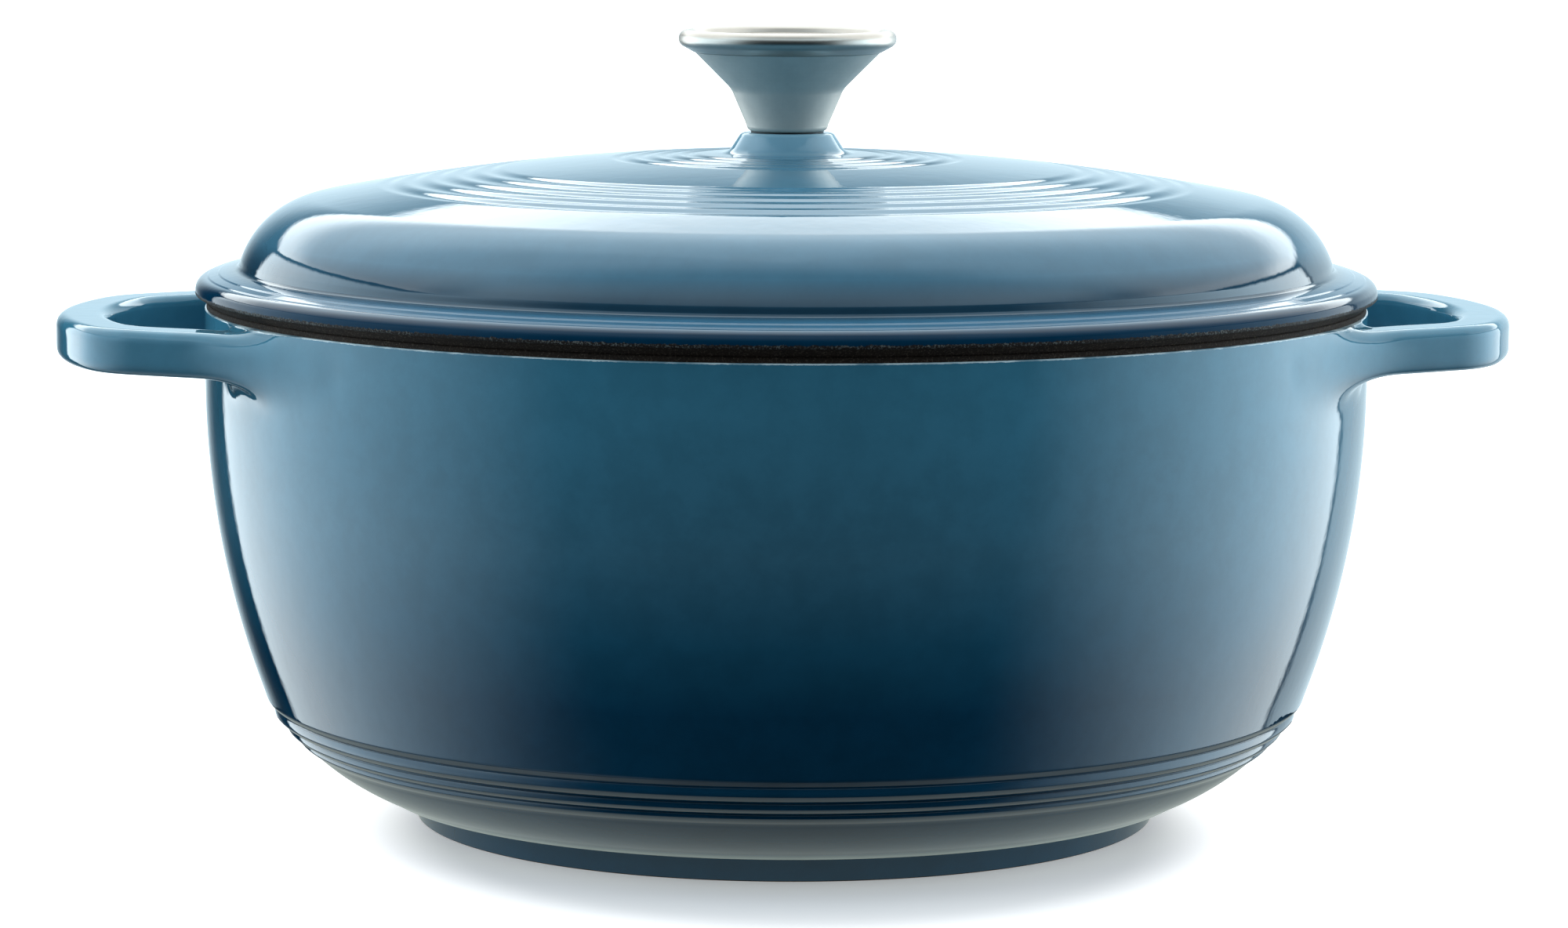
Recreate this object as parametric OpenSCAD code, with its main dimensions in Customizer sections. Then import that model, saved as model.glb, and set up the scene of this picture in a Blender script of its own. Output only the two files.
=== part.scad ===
// Enamelled cast iron dutch oven: a round pot with two loop handles cast on,
// a domed lid with raised rings, and a flared steel knob screwed on from below.
// Millimetres, +Z up. The origin is the middle of the foot ring's underside,
// and +X runs along the handles.

/* [Pot] */
// Radius of the outside of the pot where it is widest
pot_r = 137.5; // [125:0.5:150]
// Height of the rim above the surface the pot stands on
rim_z = 123.4; // [112:0.1:140]
// Length of the upright stretch of wall under the rim
wall_upright = 18.4; // [16:0.1:24]
// Radius of the wall's curve in section, below the upright stretch
wall_curve_r = 212; // [190:1:240]
// Thickness of the side wall, with both coats
wall_t = 4; // [3.4:0.1:4.4]
// Height of the cooking floor above the surface the pot stands on
floor_z = 8.5; // [7.5:0.1:10]
// Inside radius of the curve between the floor and the wall
belly_r = 47; // [42:0.5:50]
// Thickness of that curve, with both coats
belly_t = 4.4; // [4:0.1:5]

/* [Ribs and foot] */
// How many stepped ribs run round the belly
rib_count = 3; // [2:1:3]
// Height of the first rib's upper edge
ribs_z = 28.3; // [27:0.1:31]
// Height that each rib takes
rib_pitch = 4.4; // [4:0.1:4.8]
// How far a rib stands out of the belly
rib_h = 0.8; // [0.4:0.05:1]
// Height from the first rib's upper edge to the foot of the wall
ledge_h = 1.2; // [0.8:0.1:1.6]
// Height of the belly's lower lip
lip_z = 6.6; // [5.8:0.1:7.4]
// Outside radius of the foot ring where it stands
foot_r = 88; // [82:0.5:90]
// How much wider the foot ring is under the belly's lip
foot_flare = 1; // [0.5:0.1:2]
// Width of the foot ring
foot_w = 7; // [5:0.5:10]
// How far the underside is set up inside the foot ring
foot_recess = 2.6; // [2:0.1:3]

/* [Handles] */
// How far a handle reaches out past the side of the pot
handle_out = 34.7; // [30:0.1:40]
// How far the handle's top lies below the rim
handle_drop = 2.7; // [2.4:0.1:5]
// Height of the handle's bar
handle_h = 10.4; // [9:0.1:12]
// Width of the handle's bar, seen from above
handle_w = 12.4; // [10:0.1:14]
// Radius that rounds the bar's edges
handle_edge_r = 2.6; // [1.5:0.1:4]
// Outside radius of the handle's end, seen from above
handle_end_r = 91; // [84:1:97]
// Half the angle that the end's arc takes
handle_end_a = 22.9; // [20:0.1:26]
// Outside radius of the handle's corners
handle_corner_r = 26; // [21:0.5:30]
// Angle at which the side bars spread towards the pot
handle_side_a = 27.5; // [20:0.5:32]

/* [Lid] */
// Height of the lid's crown above the rim
crown_h = 34.65; // [30:0.05:42]
// Radius of the crown's curve
crown_r = 605; // [560:1:700]
// Radius of the shoulder between the crown and the dome's side
shoulder_r = 22; // [18:0.5:26]
// Thickness of the lid, with both coats
lid_t = 4.4; // [4:0.1:5]
// How far the flange stands out past the side of the pot
flange_out = 2.2; // [1:0.1:4]
// Width of the flange's top, from the dome out to its edge
flange_w = 9.5; // [8.5:0.1:13]
// Height of the flange's top above the rim, beside the dome
flange_h = 7.6; // [7:0.1:8.5]
// Fall of the flange's top for each millimetre outwards
flange_fall = 0.24; // [0.15:0.01:0.28]
// Radius of the flange's upper edge
flange_edge_r = 1.8; // [1.2:0.1:2.4]
// Depth of each of the two fine steps in the flange
flange_step = 0.22; // [0.1:0.01:0.3]
// Distance from the dome to the first fine step
flange_step_1 = 2.8; // [2.4:0.1:3.4]
// Distance from the dome to the second fine step
flange_step_2 = 5.3; // [4.4:0.1:5.8]
// How far the locating ring reaches down into the pot
ring_drop = 4; // [2.5:0.1:6]
// Width of the locating ring
ring_w = 4; // [3:0.1:5]
// Gap between the locating ring and the pot's inside
ring_gap = 1; // [0.6:0.1:1.5]

/* [Lid rings] */
// Distance from the outer group of rings out to the shoulder
outer_rings_gap = 15.3; // [10:0.1:22]
// Number of grooves in the outer group
outer_rings = 5; // [3:1:5]
// Distance from one outer groove to the next
outer_pitch = 6; // [5:0.1:6.4]
// Inner radius of the inner group of rings
inner_rings_r = 20.6; // [19:0.1:23]
// Number of grooves in the inner group
inner_rings = 4; // [2:1:5]
// Distance from one inner groove to the next
inner_pitch = 5.4; // [4.5:0.1:6]
// Depth of the grooves between the rings
groove_h = 0.35; // [0.2:0.05:0.7]

/* [Boss] */
// Height of the boss above the crown
boss_h = 4.75; // [4:0.05:7]
// Radius of the boss's top, before its edge is rounded
boss_r = 11.7; // [11:0.1:13]
// How much wider the boss is at its foot
boss_flare = 2.1; // [1:0.1:3]
// Radius of the boss's upper edge
boss_edge_r = 1.4; // [0.8:0.1:2]
// Angle from level at which that edge turns into the boss's side
boss_edge_a = 20; // [0:1:40]

/* [Enamel] */
// Thickness of each enamel coat
coat_t = 0.4; // [0.3:0.05:0.5]
// Width of bare iron left on each side of the rim
rim_bare = 1.1; // [0.8:0.1:2]
// Height of bare iron left at the foot
foot_bare = 0.8; // [0.5:0.1:1.5]

/* [Knob] */
// Height of the knob's flared body
knob_h = 18.2; // [16:0.1:24]
// Radius of the knob where it stands on the boss
knob_base_r = 9.4; // [9:0.1:10.5]
// Radius of the knob's lower edge
knob_edge_r = 1.8; // [1.7:0.1:2.4]
// Height of the knob's straight neck
neck_h = 7.2; // [5:0.1:8]
// How much wider the neck is at its top
neck_flare = 2.7; // [1.5:0.1:3.5]
// Height at which the bend above the neck ends in the cone
cone_z = 10.6; // [9.5:0.1:12]
// Radius of the knob at that height
cone_r = 14.3; // [13:0.1:15]
// Radius of the body's mouth
mouth_r = 21.9; // [20:0.1:24]
// Thickness of the knob's sheet steel
knob_t = 1.2; // [0.8:0.1:1.6]
// Overall radius of the rolled lip
knob_lip_r = 25.8; // [24.5:0.1:28]
// Radius of the lip's round section
bead_r = 2.1; // [1.8:0.1:2.6]
// Height of the lip's middle above the body's mouth
bead_rise = 3.3; // [3:0.1:4.5]
// Depth of the dish inside the lip
dish_h = 2; // [1:0.1:3]

/* [Fixing] */
// Radius of the screw's shank
screw_r = 3; // [2.5:0.1:3.5]
// Gap round the shank in the lid, the seal and the washers
hole_gap = 0.3; // [0.2:0.05:0.5]
// Gap round the shank in the threaded bush
thread_gap = 0.05; // [0.02:0.01:0.1]
// Length of the threaded bush
bush_h = 9; // [6:0.5:11]
// Radius of the threaded bush
bush_r = 6.4; // [5.5:0.1:7]
// Radius of the screw's head
head_r = 6; // [5:0.1:7]
// Height of the screw's head
head_h = 3.6; // [3:0.1:5]
// Width across the flats of the screw's hexagon socket
socket_af = 4; // [3:0.5:5]
// Radius of the flat washer
washer_r = 7; // [6:0.1:9]
// Thickness of the flat washer
washer_t = 1.2; // [0.8:0.1:2]
// Radius of the split lock washer
lock_r = 5.6; // [5:0.1:6]
// Thickness of the split lock washer
lock_t = 1.4; // [1:0.1:2]
// Width of the flat seat left round the washer
seat_margin = 1; // [0.5:0.1:2]
// Thickness of the seal under the knob
seal_t = 0.6; // [0.4:0.1:1.5]
// Radius of that seal
seal_r = 8.6; // [7.6:0.1:9]

/* [Hidden] */

$fn = 96;

// Colours of the real finishes
iron = "#2a2726";
blue = "#2f6387";
pale_blue = "#7fb2c9";
cream = "#e9e2d0";
brushed = "#7d8890";
polished = "#d8dadb";
zinc = "#a9adb0";
rubber = "#1d1e20";

// Steps in a full bend of each kind of arc
wall_steps = 10;
belly_steps = 8;
edge_steps = 4;
crown_steps = 8;
wave_steps = 6;

// How far a handle's straight lengths run into its corners, and how much thinner they are
bar_lap = 0.5;
bar_thin = 0.02;

// A length that reaches past any face it has to cut through
past = 1;
// The whole height that a cutting disc may need
tall = 400;

// ---- Curves ----

// Points on an arc from angle a0 to a1
function arc(c, r, a0, a1, n) =
    [for (i = [0:n]) c + r * [cos(a0 + (a1 - a0) * i / n), sin(a0 + (a1 - a0) * i / n)]];

// Points on a curve that leaves a towards b and arrives at c from b
function bend(a, b, c, n) =
    [for (i = [0:n]) let (t = i / n) (1 - t) * (1 - t) * a + 2 * t * (1 - t) * b + t * t * c];

// A list backwards, and a list without its first entry
function reverse(list) = [for (i = [len(list) - 1:-1:0]) list[i]];
function rest(list) = [for (i = [1:len(list) - 1]) list[i]];

// ---- Pot outlines, in section: x is the radius, y is the height ----

wall_c = [pot_r - wall_curve_r, rim_z - wall_upright];
belly_reach = wall_curve_r - wall_t - belly_r;
belly_c = [wall_c.x + sqrt(pow(belly_reach, 2) - pow(wall_c.y - floor_z - belly_r, 2)),
           floor_z + belly_r];
belly_out_r = belly_r + belly_t;
inner_r = pot_r - wall_t;

// Angle on the belly's outside at height z
function belly_a(z, r) = -asin((belly_c.y - z) / r);

// Rib n from its upper edge downwards, bulging out by rib_h, without its last point
function rib(n, inset) =
    [for (i = [0:edge_steps - 1])
        let (z = ribs_z - (n + i / edge_steps) * rib_pitch,
             a = belly_a(z, belly_out_r),
             r = belly_out_r - inset + rib_h * sin(180 * i / edge_steps))
        belly_c + r * [cos(a), sin(a)]];

function flat_ribs(inset) = [for (n = [0:rib_count - 1]) each rib(n, inset)];

// Outside of the pot from the middle of its underside to the rim
function pot_outline(inset) =
    let (foot_out = foot_r - inset,
         foot_in = foot_r - foot_w + inset,
         lip_a = belly_a(lip_z + inset, belly_out_r - inset),
         last_a = belly_a(ribs_z - rib_count * rib_pitch, belly_out_r),
         ledge_z = ribs_z + ledge_h,
         wall_a = -asin((wall_c.y - ledge_z) / wall_curve_r),
         ribs = flat_ribs(inset))
    concat([[0, foot_recess + inset], [foot_in - foot_recess, foot_recess + inset]],
           [[foot_in, 0], [foot_out, 0], [foot_out + foot_flare, lip_z + inset]],
           arc(belly_c, belly_out_r - inset, lip_a, last_a, belly_steps),
           reverse(ribs),
           arc(wall_c, wall_curve_r - inset, wall_a, 0, wall_steps),
           [[pot_r - inset, rim_z - rim_bare / 2],
            [pot_r - inset - rim_bare / 2, rim_z], [0, rim_z]]);

// Inside of the pot from the middle of its floor to past the rim
function cavity_outline(grow) =
    let (meet_a = -asin((wall_c.y - belly_c.y) / belly_reach))
    concat([[0, floor_z - grow]],
           arc(belly_c, belly_r + grow, -90, meet_a, belly_steps),
           rest(arc(wall_c, wall_curve_r - wall_t + grow, meet_a, 0, wall_steps)),
           [[inner_r + grow, rim_z + past], [0, rim_z + past]]);

// ---- Lid outlines ----

crown_z = rim_z + crown_h;
crown_c = [0, crown_z - crown_r];
flange_r = pot_r + flange_out;
// Outside radius of the dome where it meets the flange
dome_r = flange_r - flange_w;
shoulder_x = dome_r - shoulder_r;
shoulder_c = [shoulder_x,
              crown_c.y + sqrt(pow(crown_r - shoulder_r, 2) - pow(shoulder_x, 2))];
shoulder_a = 90 - asin(shoulder_x / (crown_r - shoulder_r));
crown_end = crown_r * cos(shoulder_a);
outer_rings_r = crown_end - outer_rings_gap - outer_rings * outer_pitch;
flange_z = rim_z + flange_h;
fillet = flange_edge_r;
slope_a = 90 - atan(flange_fall);
dome_foot_a = asin((flange_z + fillet - shoulder_c.y) / shoulder_r);
seat_r = pot_r - rim_bare / 2;
boss_z = crown_z + boss_h;
boss_foot = boss_r + boss_flare;

// Height of the smooth crown at radius r
function crown_at(r, inset) = crown_c.y + sqrt(pow(crown_r - inset, 2) - r * r);

// Depth at radius r of a group of grooves, whose section is a wave
function groove_at(r, start, count, pitch) =
    r < start || r > start + count * pitch ? 0
    : groove_h * (1 - cos(360 * (r - start) / pitch)) / 2;

// Radii at which a group's wave is drawn
function wave_radii(start, count, pitch) =
    [for (i = [0:count * wave_steps]) start + i * pitch / wave_steps];

// The crown with both groups of rings, from the boss out to the shoulder
function crown_outline(inset) =
    let (inner_end = inner_rings_r + inner_rings * inner_pitch,
         outer_end = outer_rings_r + outer_rings * outer_pitch,
         radii = concat(wave_radii(inner_rings_r, inner_rings, inner_pitch),
                        [(inner_end + outer_rings_r) / 2],
                        wave_radii(outer_rings_r, outer_rings, outer_pitch),
                        [(outer_end + crown_end) / 2]))
    [for (r = radii) [r, crown_at(r, inset)
        - groove_at(r, inner_rings_r, inner_rings, inner_pitch)
        - groove_at(r, outer_rings_r, outer_rings, outer_pitch)]];

// Height of the flange's sloping top at radius r, n steps down
function flange_at(r, inset, n) =
    flange_z - inset - flange_fall * (r - dome_r) - n * flange_step;

// Middle of the flange edge's arc
edge_x = flange_r - flange_edge_r;
edge_z = flange_at(edge_x + flange_edge_r * cos(slope_a), 0, 2) - flange_edge_r * sin(slope_a);

function flange_outline(inset) =
    let (step_1 = dome_r + flange_step_1,
         step_2 = dome_r + flange_step_2)
    concat(bend(shoulder_c + (shoulder_r - inset) * [cos(dome_foot_a), sin(dome_foot_a)],
                [dome_r - inset, flange_at(dome_r, inset, 0)],
                [dome_r + fillet, flange_at(dome_r + fillet, inset, 0)], edge_steps),
           [[step_1, flange_at(step_1, inset, 0)], [step_1, flange_at(step_1, inset, 1)],
            [step_2, flange_at(step_2, inset, 1)], [step_2, flange_at(step_2, inset, 2)]],
           arc([edge_x, edge_z], flange_edge_r - inset, slope_a, 0, edge_steps));

// The lid's outside from the boss to the flange's edge
function lid_outline(inset) =
    let (edge = boss_edge_r - inset,
         foot_z = crown_at(boss_foot, inset))
    concat([[0, boss_z - inset]],
           arc([boss_r - boss_edge_r, boss_z - boss_edge_r], edge, 90, boss_edge_a, edge_steps),
           bend([boss_foot - boss_flare / 2 - inset, foot_z + boss_flare],
                [boss_foot - boss_flare / 4 - inset, foot_z],
                [boss_foot + boss_flare, crown_at(boss_foot + boss_flare, inset)], edge_steps),
           crown_outline(inset),
           arc(shoulder_c, shoulder_r - inset, shoulder_a, dome_foot_a, wall_steps),
           rest(flange_outline(inset)));

// The lid's inside, from the middle out and down to the locating ring's edge
ring_out = inner_r - ring_gap;
ring_in = ring_out - ring_w;
flat_spot = max(washer_r, head_r) + seat_margin;

function under_outline(grow) =
    let (start_a = 90 - asin(flat_spot / (crown_r - lid_t)),
         inner_crown = crown_r - lid_t + grow,
         inner_shoulder = shoulder_r - lid_t + grow)
    concat([[0, crown_c.y + inner_crown * sin(start_a)]],
           arc(crown_c, inner_crown, start_a, shoulder_a, crown_steps),
           rest(arc(shoulder_c, inner_shoulder, shoulder_a, 0, wall_steps)),
           [[ring_in + grow, rim_z - ring_drop / 2], [ring_in + grow, rim_z - ring_drop]]);

// ---- Knob places ----

knob_z = boss_z + seal_t;
mouth_z = knob_z + knob_h;
bead_z = mouth_z + bead_rise;
bead_x = knob_lip_r - bead_r;
bush_z = knob_z + knob_t;
under_z = crown_at(flat_spot, lid_t);
washer_z = under_z - washer_t;
lock_z = washer_z - lock_t;
hole_r = screw_r + hole_gap;

// The knob body's outside, or its inside where inset is the sheet's thickness
function knob_outline(inset) =
    let (slope = (mouth_r - cone_r) / (knob_h - cone_z),
         // where the neck's line and the cone's line cross
         neck_slope = neck_flare / neck_h,
         cross_z = (cone_r - knob_base_r - slope * cone_z) / (neck_slope - slope),
         cross_r = knob_base_r + neck_slope * cross_z,
         start_z = 2 * cross_z - cone_z)
    concat([[0, knob_z + inset]],
           arc([knob_base_r - knob_edge_r, knob_z + knob_edge_r], knob_edge_r - inset, -90, 0,
               edge_steps),
           bend([knob_base_r + neck_slope * start_z - inset, knob_z + start_z],
                [cross_r - inset, knob_z + cross_z],
                [cone_r - inset, knob_z + cone_z], belly_steps),
           [[mouth_r - inset, mouth_z], [0, mouth_z]]);

// ---- Building blocks ----

module turn(points) {
    rotate_extrude() polygon(points);
}

module disc(r, z, h) {
    translate([0, 0, z]) cylinder(r = r, h = h);
}

// Rounded section of the handle's bar, its middle at radius r
module bar_section(r, inset) {
    x = handle_w / 2 - handle_edge_r;
    y = handle_h / 2 - handle_edge_r;
    e = handle_edge_r - inset;
    translate([r, 0]) polygon(concat(
        arc([x, y], e, 0, 90, edge_steps), arc([-x, y], e, 90, 180, edge_steps),
        arc([-x, -y], e, 180, 270, edge_steps), arc([x, -y], e, 270, 360, edge_steps)));
}

// A corner and the side bar that runs into it, drawn from where they meet:
// corner_mid out along +X
module handle_side(inset, corner_mid, corner_turn, bar_l) {
    rotate_extrude(angle = -corner_turn) bar_section(corner_mid, inset);
    translate([corner_mid, -bar_lap, 0]) rotate([90, 0, 180])
        linear_extrude(bar_l + bar_lap) bar_section(0, inset + bar_thin);
}

// The +X handle: its end, and a corner and a side bar at each side of it
module handle(inset) {
    end_x = pot_r + handle_out - handle_end_r;
    corner_c = [end_x, 0]
             + (handle_end_r - handle_corner_r) * [cos(handle_end_a), sin(handle_end_a)];
    corner_mid = handle_corner_r - handle_w / 2;
    side_a = 90 - handle_side_a;
    bar_start = corner_c + corner_mid * [cos(side_a), sin(side_a)];
    // distance along the side bar to just inside the pot's wall
    along = bar_start * [-sin(side_a), cos(side_a)];
    bar_l = -along - sqrt(along * along - bar_start * bar_start + inner_r * inner_r) + handle_w;
    lap_a = handle_end_a + asin(bar_lap / handle_end_r);

    translate([end_x, 0, 0]) rotate([0, 0, -lap_a]) rotate_extrude(angle = 2 * lap_a)
        bar_section(handle_end_r - handle_w / 2, inset + bar_thin);
    for (half = [0, 1])
        mirror([0, half, 0]) translate([corner_c.x, corner_c.y, 0]) rotate([0, 0, side_a])
            handle_side(inset, corner_mid, side_a - handle_end_a, bar_l);
}

// Both handles, with their surface set in by inset
module handles(inset) {
    for (side = [0, 180])
        rotate([0, 0, side]) translate([0, 0, rim_z - handle_drop - handle_h / 2]) handle(inset);
}

// The pot's outer form, solid inside
module pot_form(inset) {
    turn(pot_outline(inset));
    handles(inset);
}

// Turns an outline that runs along a coat's outside and back along its inside
module coat(outside, inside) {
    turn(concat(outside, reverse(inside)));
}

// ---- Pot ----

module pot_casting() {
    color(iron) difference() {
        pot_form(coat_t);
        turn(cavity_outline(coat_t));
    }
}

module pot_exterior_enamel() {
    color(blue) difference() {
        pot_form(0);
        pot_form(coat_t);
        disc(pot_r + handle_out, rim_z - rim_bare, tall);
        translate([0, 0, -past]) cylinder(r = pot_r, h = foot_bare + past);
    }
}

module pot_interior_enamel() {
    color(cream) difference() {
        turn(cavity_outline(coat_t));
        turn(cavity_outline(0));
        disc(pot_r, rim_z - rim_bare, tall);
    }
}

// ---- Lid ----

module lid_casting() {
    seat = [[seat_r, rim_z], [ring_out, rim_z], [ring_out, rim_z - ring_drop]];
    color(iron) difference() {
        turn(concat(lid_outline(coat_t), seat, reverse(under_outline(coat_t))));
        disc(hole_r, rim_z, tall);
    }
}

module lid_exterior_enamel() {
    color(pale_blue) difference() {
        coat(lid_outline(0), lid_outline(coat_t));
        disc(hole_r, rim_z, tall);
    }
}

module lid_interior_enamel() {
    color(cream) difference() {
        coat(under_outline(coat_t), under_outline(0));
        disc(hole_r, rim_z, tall);
    }
}

// ---- Knob ----

module knob_seal() {
    color(rubber) difference() {
        disc(seal_r, boss_z, seal_t);
        disc(hole_r, boss_z - past, seal_t + 2 * past);
    }
}

module knob_body() {
    color(brushed) difference() {
        turn(knob_outline(0));
        turn(knob_outline(knob_t));
        disc(hole_r, knob_z - past, knob_t + 2 * past);
    }
}

module knob_cap() {
    rim_x = bead_x - bead_r / 2;
    color(polished) union() {
        rotate_extrude() translate([bead_x, bead_z]) circle(r = bead_r);
        turn([[0, bead_z + bead_r - dish_h], [rim_x, bead_z + bead_r / 2],
              [bead_x, bead_z], [bead_x, bead_z - bead_r / 2],
              [mouth_r, mouth_z], [mouth_r - knob_t, mouth_z],
              [mouth_r - knob_t, bead_z - knob_t], [0, bead_z + bead_r - dish_h - knob_t]]);
    }
}

module knob_insert() {
    color(zinc) difference() {
        disc(bush_r, bush_z, bush_h);
        disc(screw_r + thread_gap, bush_z - past, bush_h + 2 * past);
    }
}

// ---- Fixing ----

module knob_screw() {
    color(zinc) difference() {
        union() {
            disc(head_r, lock_z - head_h, head_h);
            disc(screw_r, lock_z - past, bush_z + bush_h - lock_z + past);
        }
        translate([0, 0, lock_z - head_h - past])
            cylinder(r = socket_af / 2 / cos(30), h = head_h / 2 + past, $fn = 6);
    }
}

module flat_washer() {
    color(zinc) difference() {
        disc(washer_r, washer_z, washer_t);
        disc(hole_r, washer_z - past, washer_t + 2 * past);
    }
}

module lock_washer() {
    split = lock_t / 2;
    color(zinc) difference() {
        disc(lock_r, lock_z, lock_t);
        disc(screw_r + hole_gap / 2, lock_z - past, lock_t + 2 * past);
        translate([0, -split / 2, lock_z - past]) cube([lock_r + past, split, lock_t + 2 * past]);
    }
}

pot_casting();
pot_exterior_enamel();
pot_interior_enamel();
lid_casting();
lid_exterior_enamel();
lid_interior_enamel();
knob_seal();
knob_body();
knob_cap();
knob_insert();
knob_screw();
flat_washer();
lock_washer();
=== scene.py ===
"""Looks of an enamelled cast iron dutch oven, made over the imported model's frame."""

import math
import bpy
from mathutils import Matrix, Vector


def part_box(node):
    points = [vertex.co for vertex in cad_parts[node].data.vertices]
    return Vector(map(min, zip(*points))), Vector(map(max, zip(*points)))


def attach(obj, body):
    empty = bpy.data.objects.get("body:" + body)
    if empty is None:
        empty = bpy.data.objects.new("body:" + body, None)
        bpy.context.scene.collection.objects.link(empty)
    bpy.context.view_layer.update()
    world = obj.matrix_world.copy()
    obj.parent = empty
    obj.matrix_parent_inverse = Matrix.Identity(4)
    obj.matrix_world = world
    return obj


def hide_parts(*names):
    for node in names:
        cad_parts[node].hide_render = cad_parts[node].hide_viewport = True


bl_info = {
    "name": "Enamelled Dutch Oven",
    "version": (1, 0, 0),
    "blender": (4, 5, 0),
    "location": "View3D > Sidebar > Dutch Oven",
    "description": "Makes the enamel, handles, knob and studio of a cast iron dutch oven",
    "category": "Object",
}

from functools import reduce
from types import SimpleNamespace

import bmesh
import bpy
import numpy as np
from bpy.props import FloatProperty, FloatVectorProperty, IntProperty, PointerProperty
from mathutils import Matrix, Vector

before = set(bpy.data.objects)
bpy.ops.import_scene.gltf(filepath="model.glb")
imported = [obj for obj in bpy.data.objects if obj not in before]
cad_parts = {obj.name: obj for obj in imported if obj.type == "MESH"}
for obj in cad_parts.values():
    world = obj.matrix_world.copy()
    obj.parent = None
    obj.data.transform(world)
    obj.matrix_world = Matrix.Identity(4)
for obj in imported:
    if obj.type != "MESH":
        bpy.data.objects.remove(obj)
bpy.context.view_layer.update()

MM = 0.001

# Steps round a turned piece, and the circle that the turning nodes work from
TURN_STEPS = 288
TURN_RADIUS = 0.1
# Points nearer than this are one point
SAME_POINT = 0.000002

# All sizes down to the studio's lights are in millimetres.
# Outlines: the longest step on the pot's foot and ribs, how many times longer than its
# neighbour a step may be, and how often such steps are split
LONGEST_STEP = 1.5
STEP_RATIO = 2.2
SPLIT_ROUNDS = 40
# Ribs round the belly from the top: the upright part of each and the part that slopes in
# below it. Each starts a little under the belly's curve, and its slope bends round a point
# that lies in from it and up along it by these shares of its height
RIBS = ((1.7, 2.3), (1.1, 1.8), (0.7, 1.8))
RIB_SINK = 0.12
RIB_BEND = (0.35, 0.6)
# The belly's curve starts this far above its lip
LIP_ROUND = 2
# Steps over the lid's crown, across the grooves and elsewhere
FINE_STEP = 0.5
COARSE_STEP = 2

# The wall's openings at the bars' roots: heights, rows, columns outer and inner, rings between
# an opening and the bar, how far round a root the surface is eased, how far under the openings
# that may reach, and how far before the wall the bar's own rings stop
ROOT_Z = (103.0, 121.6)
ROOT_UP = 12
ROOT_COLUMNS = (27, 14)
ROOT_RINGS = 8
ROOT_REACH = 34
ROOT_UNDER = 16
ROOT_CLEAR = 12
# Easing: rounds, how far each moves a point towards its neighbours' middle, and the width
# over which it fades out
EASE_ROUNDS = 90
EASE_SHARE = 0.6
EASE_FADE = 6
# Two heights or radii this near are the same row
SAME_ROW = 0.1
# Distance that stands for none
FAR = 1000

# The iron stays this much further than a coat's two skins under the wall, and this much more
# under the belly, so that it never shows through; and the reach of its small rounded edges
CORE_DEPTH = 0.8
BELLY_DEPTH = 1.5
IRON_EDGE = 0.6

# Finishes. Heights at which the pot's blues lie from low to top, and the lid's radii
POT_FADE = (44, 60, 80, 121)
# The lid's radii include a darker corner blue, painted shade where the dome meets the flange
LID_FADE = (126, 128.5, 130, 133, 136.5, 138.8)
# Radii over which the boss's painted reflection fades out
BOSS_REFLECTION_FADE = (11, 18)
# Bands, each (from, to). On the pot: the painted reflection of the floor over the lip, and the
# painted highlight line and the ground coat, from the enamel's upper edge. On the lid: the ground
# coat and where the full gloss starts, from the enamel's lower edge
LIP_REFLECTION_STARTS = (-0.4, -0.1)
LIP_REFLECTION_ENDS = (0.1, 2.3)
RIM_HIGHLIGHT_LINE = (-0.12, -0.02)
POT_GROUND = (0.25, 0.35)
LID_GROUND = (0, 0.15)
LID_GLOSS = (2.0, 3.2)
# Slow swells in the lid's enamel: their band, by radius on the crown and by height over the
# flange at the dome's foot, and how high they rise
CROWN_SWELL = (78, 124, 1.1)
FOOT_SWELL = (0.3, 2.4, 0.4)
# Orange peel: how wide and how deep the waves are that fired enamel dries in
POT_PEEL = ((6, 0.03), (2.2, 0.01), (0.9, 0.0013))
LID_PEEL = ((6, 0.024), (2, 0.009), (0.9, 0.0013))
# Roughness of the glossy enamel, how much rougher the ground coat is, and how strongly the
# enamel reflects along the lid's ragged edge and elsewhere
GLOSS = 0.03
GROUND_DULLNESS = 0.5
EDGE_SHINE = 0.06
FULL_SHINE = 0.5

# The studio's lights, as seen from the pot. Edges are (place, softness); x runs to the right,
# y away from the camera and z up. The overhead sheet lies level, so its edges are x/z and y/z.
# The banks stand upright at each side, so theirs are y/|x| and z/|x|. The fills are soft
# patches round the pot, in degrees: azimuth from the camera's side, then the edges to its left
# and right, measured from that azimuth, and the low and high edges, and last the strength.
SHEET = {
    "left": (-2.2, 0.08),
    "right": (2.75, 0.25),
    "front": (-1.3, 0.9),
    "rear": (3.1, 0.5),
    "strength": 0.3,
    "rear_part": (-0.15, 0.5),
    "rear_strength": 1.36,
    "far_part": (1.9, 0.9),
    "far_strength": 1.65,
    "side_part": (2.1, 0.6),
    "side_strength": 0.55,
}
BANKS = {
    "left": {"front": (-0.16, 2.0), "rear": (1.45, 0.15), "top": (0.41, 0.04),
             "strength": 0.76, "upper_part": (-0.72, 0.98), "upper_strength": 2.54},
    "right": {"front": (-0.23, 1.65), "rear": (1.2, 0.12), "top": (0.32, 0.04),
              "strength": 0.25, "upper_part": (-0.72, 1.5), "upper_strength": 3.65},
}
FILLS = {
    "left": (-77.4, (4.9, 30.6), (23.7, 44.5), (31.4, 89.5), (45.5, 36.3), 3.43),
    "right": (49.7, (29.5, 65.3), (31.1, 26.9), (27.7, 17.5), (51.4, 46.3), 1.5),
    "front": (-23.4, (32.0, 66.8), (36.7, 59.4), (30.4, 22.2), (60.3, 36.3), 0.98),
}
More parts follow.
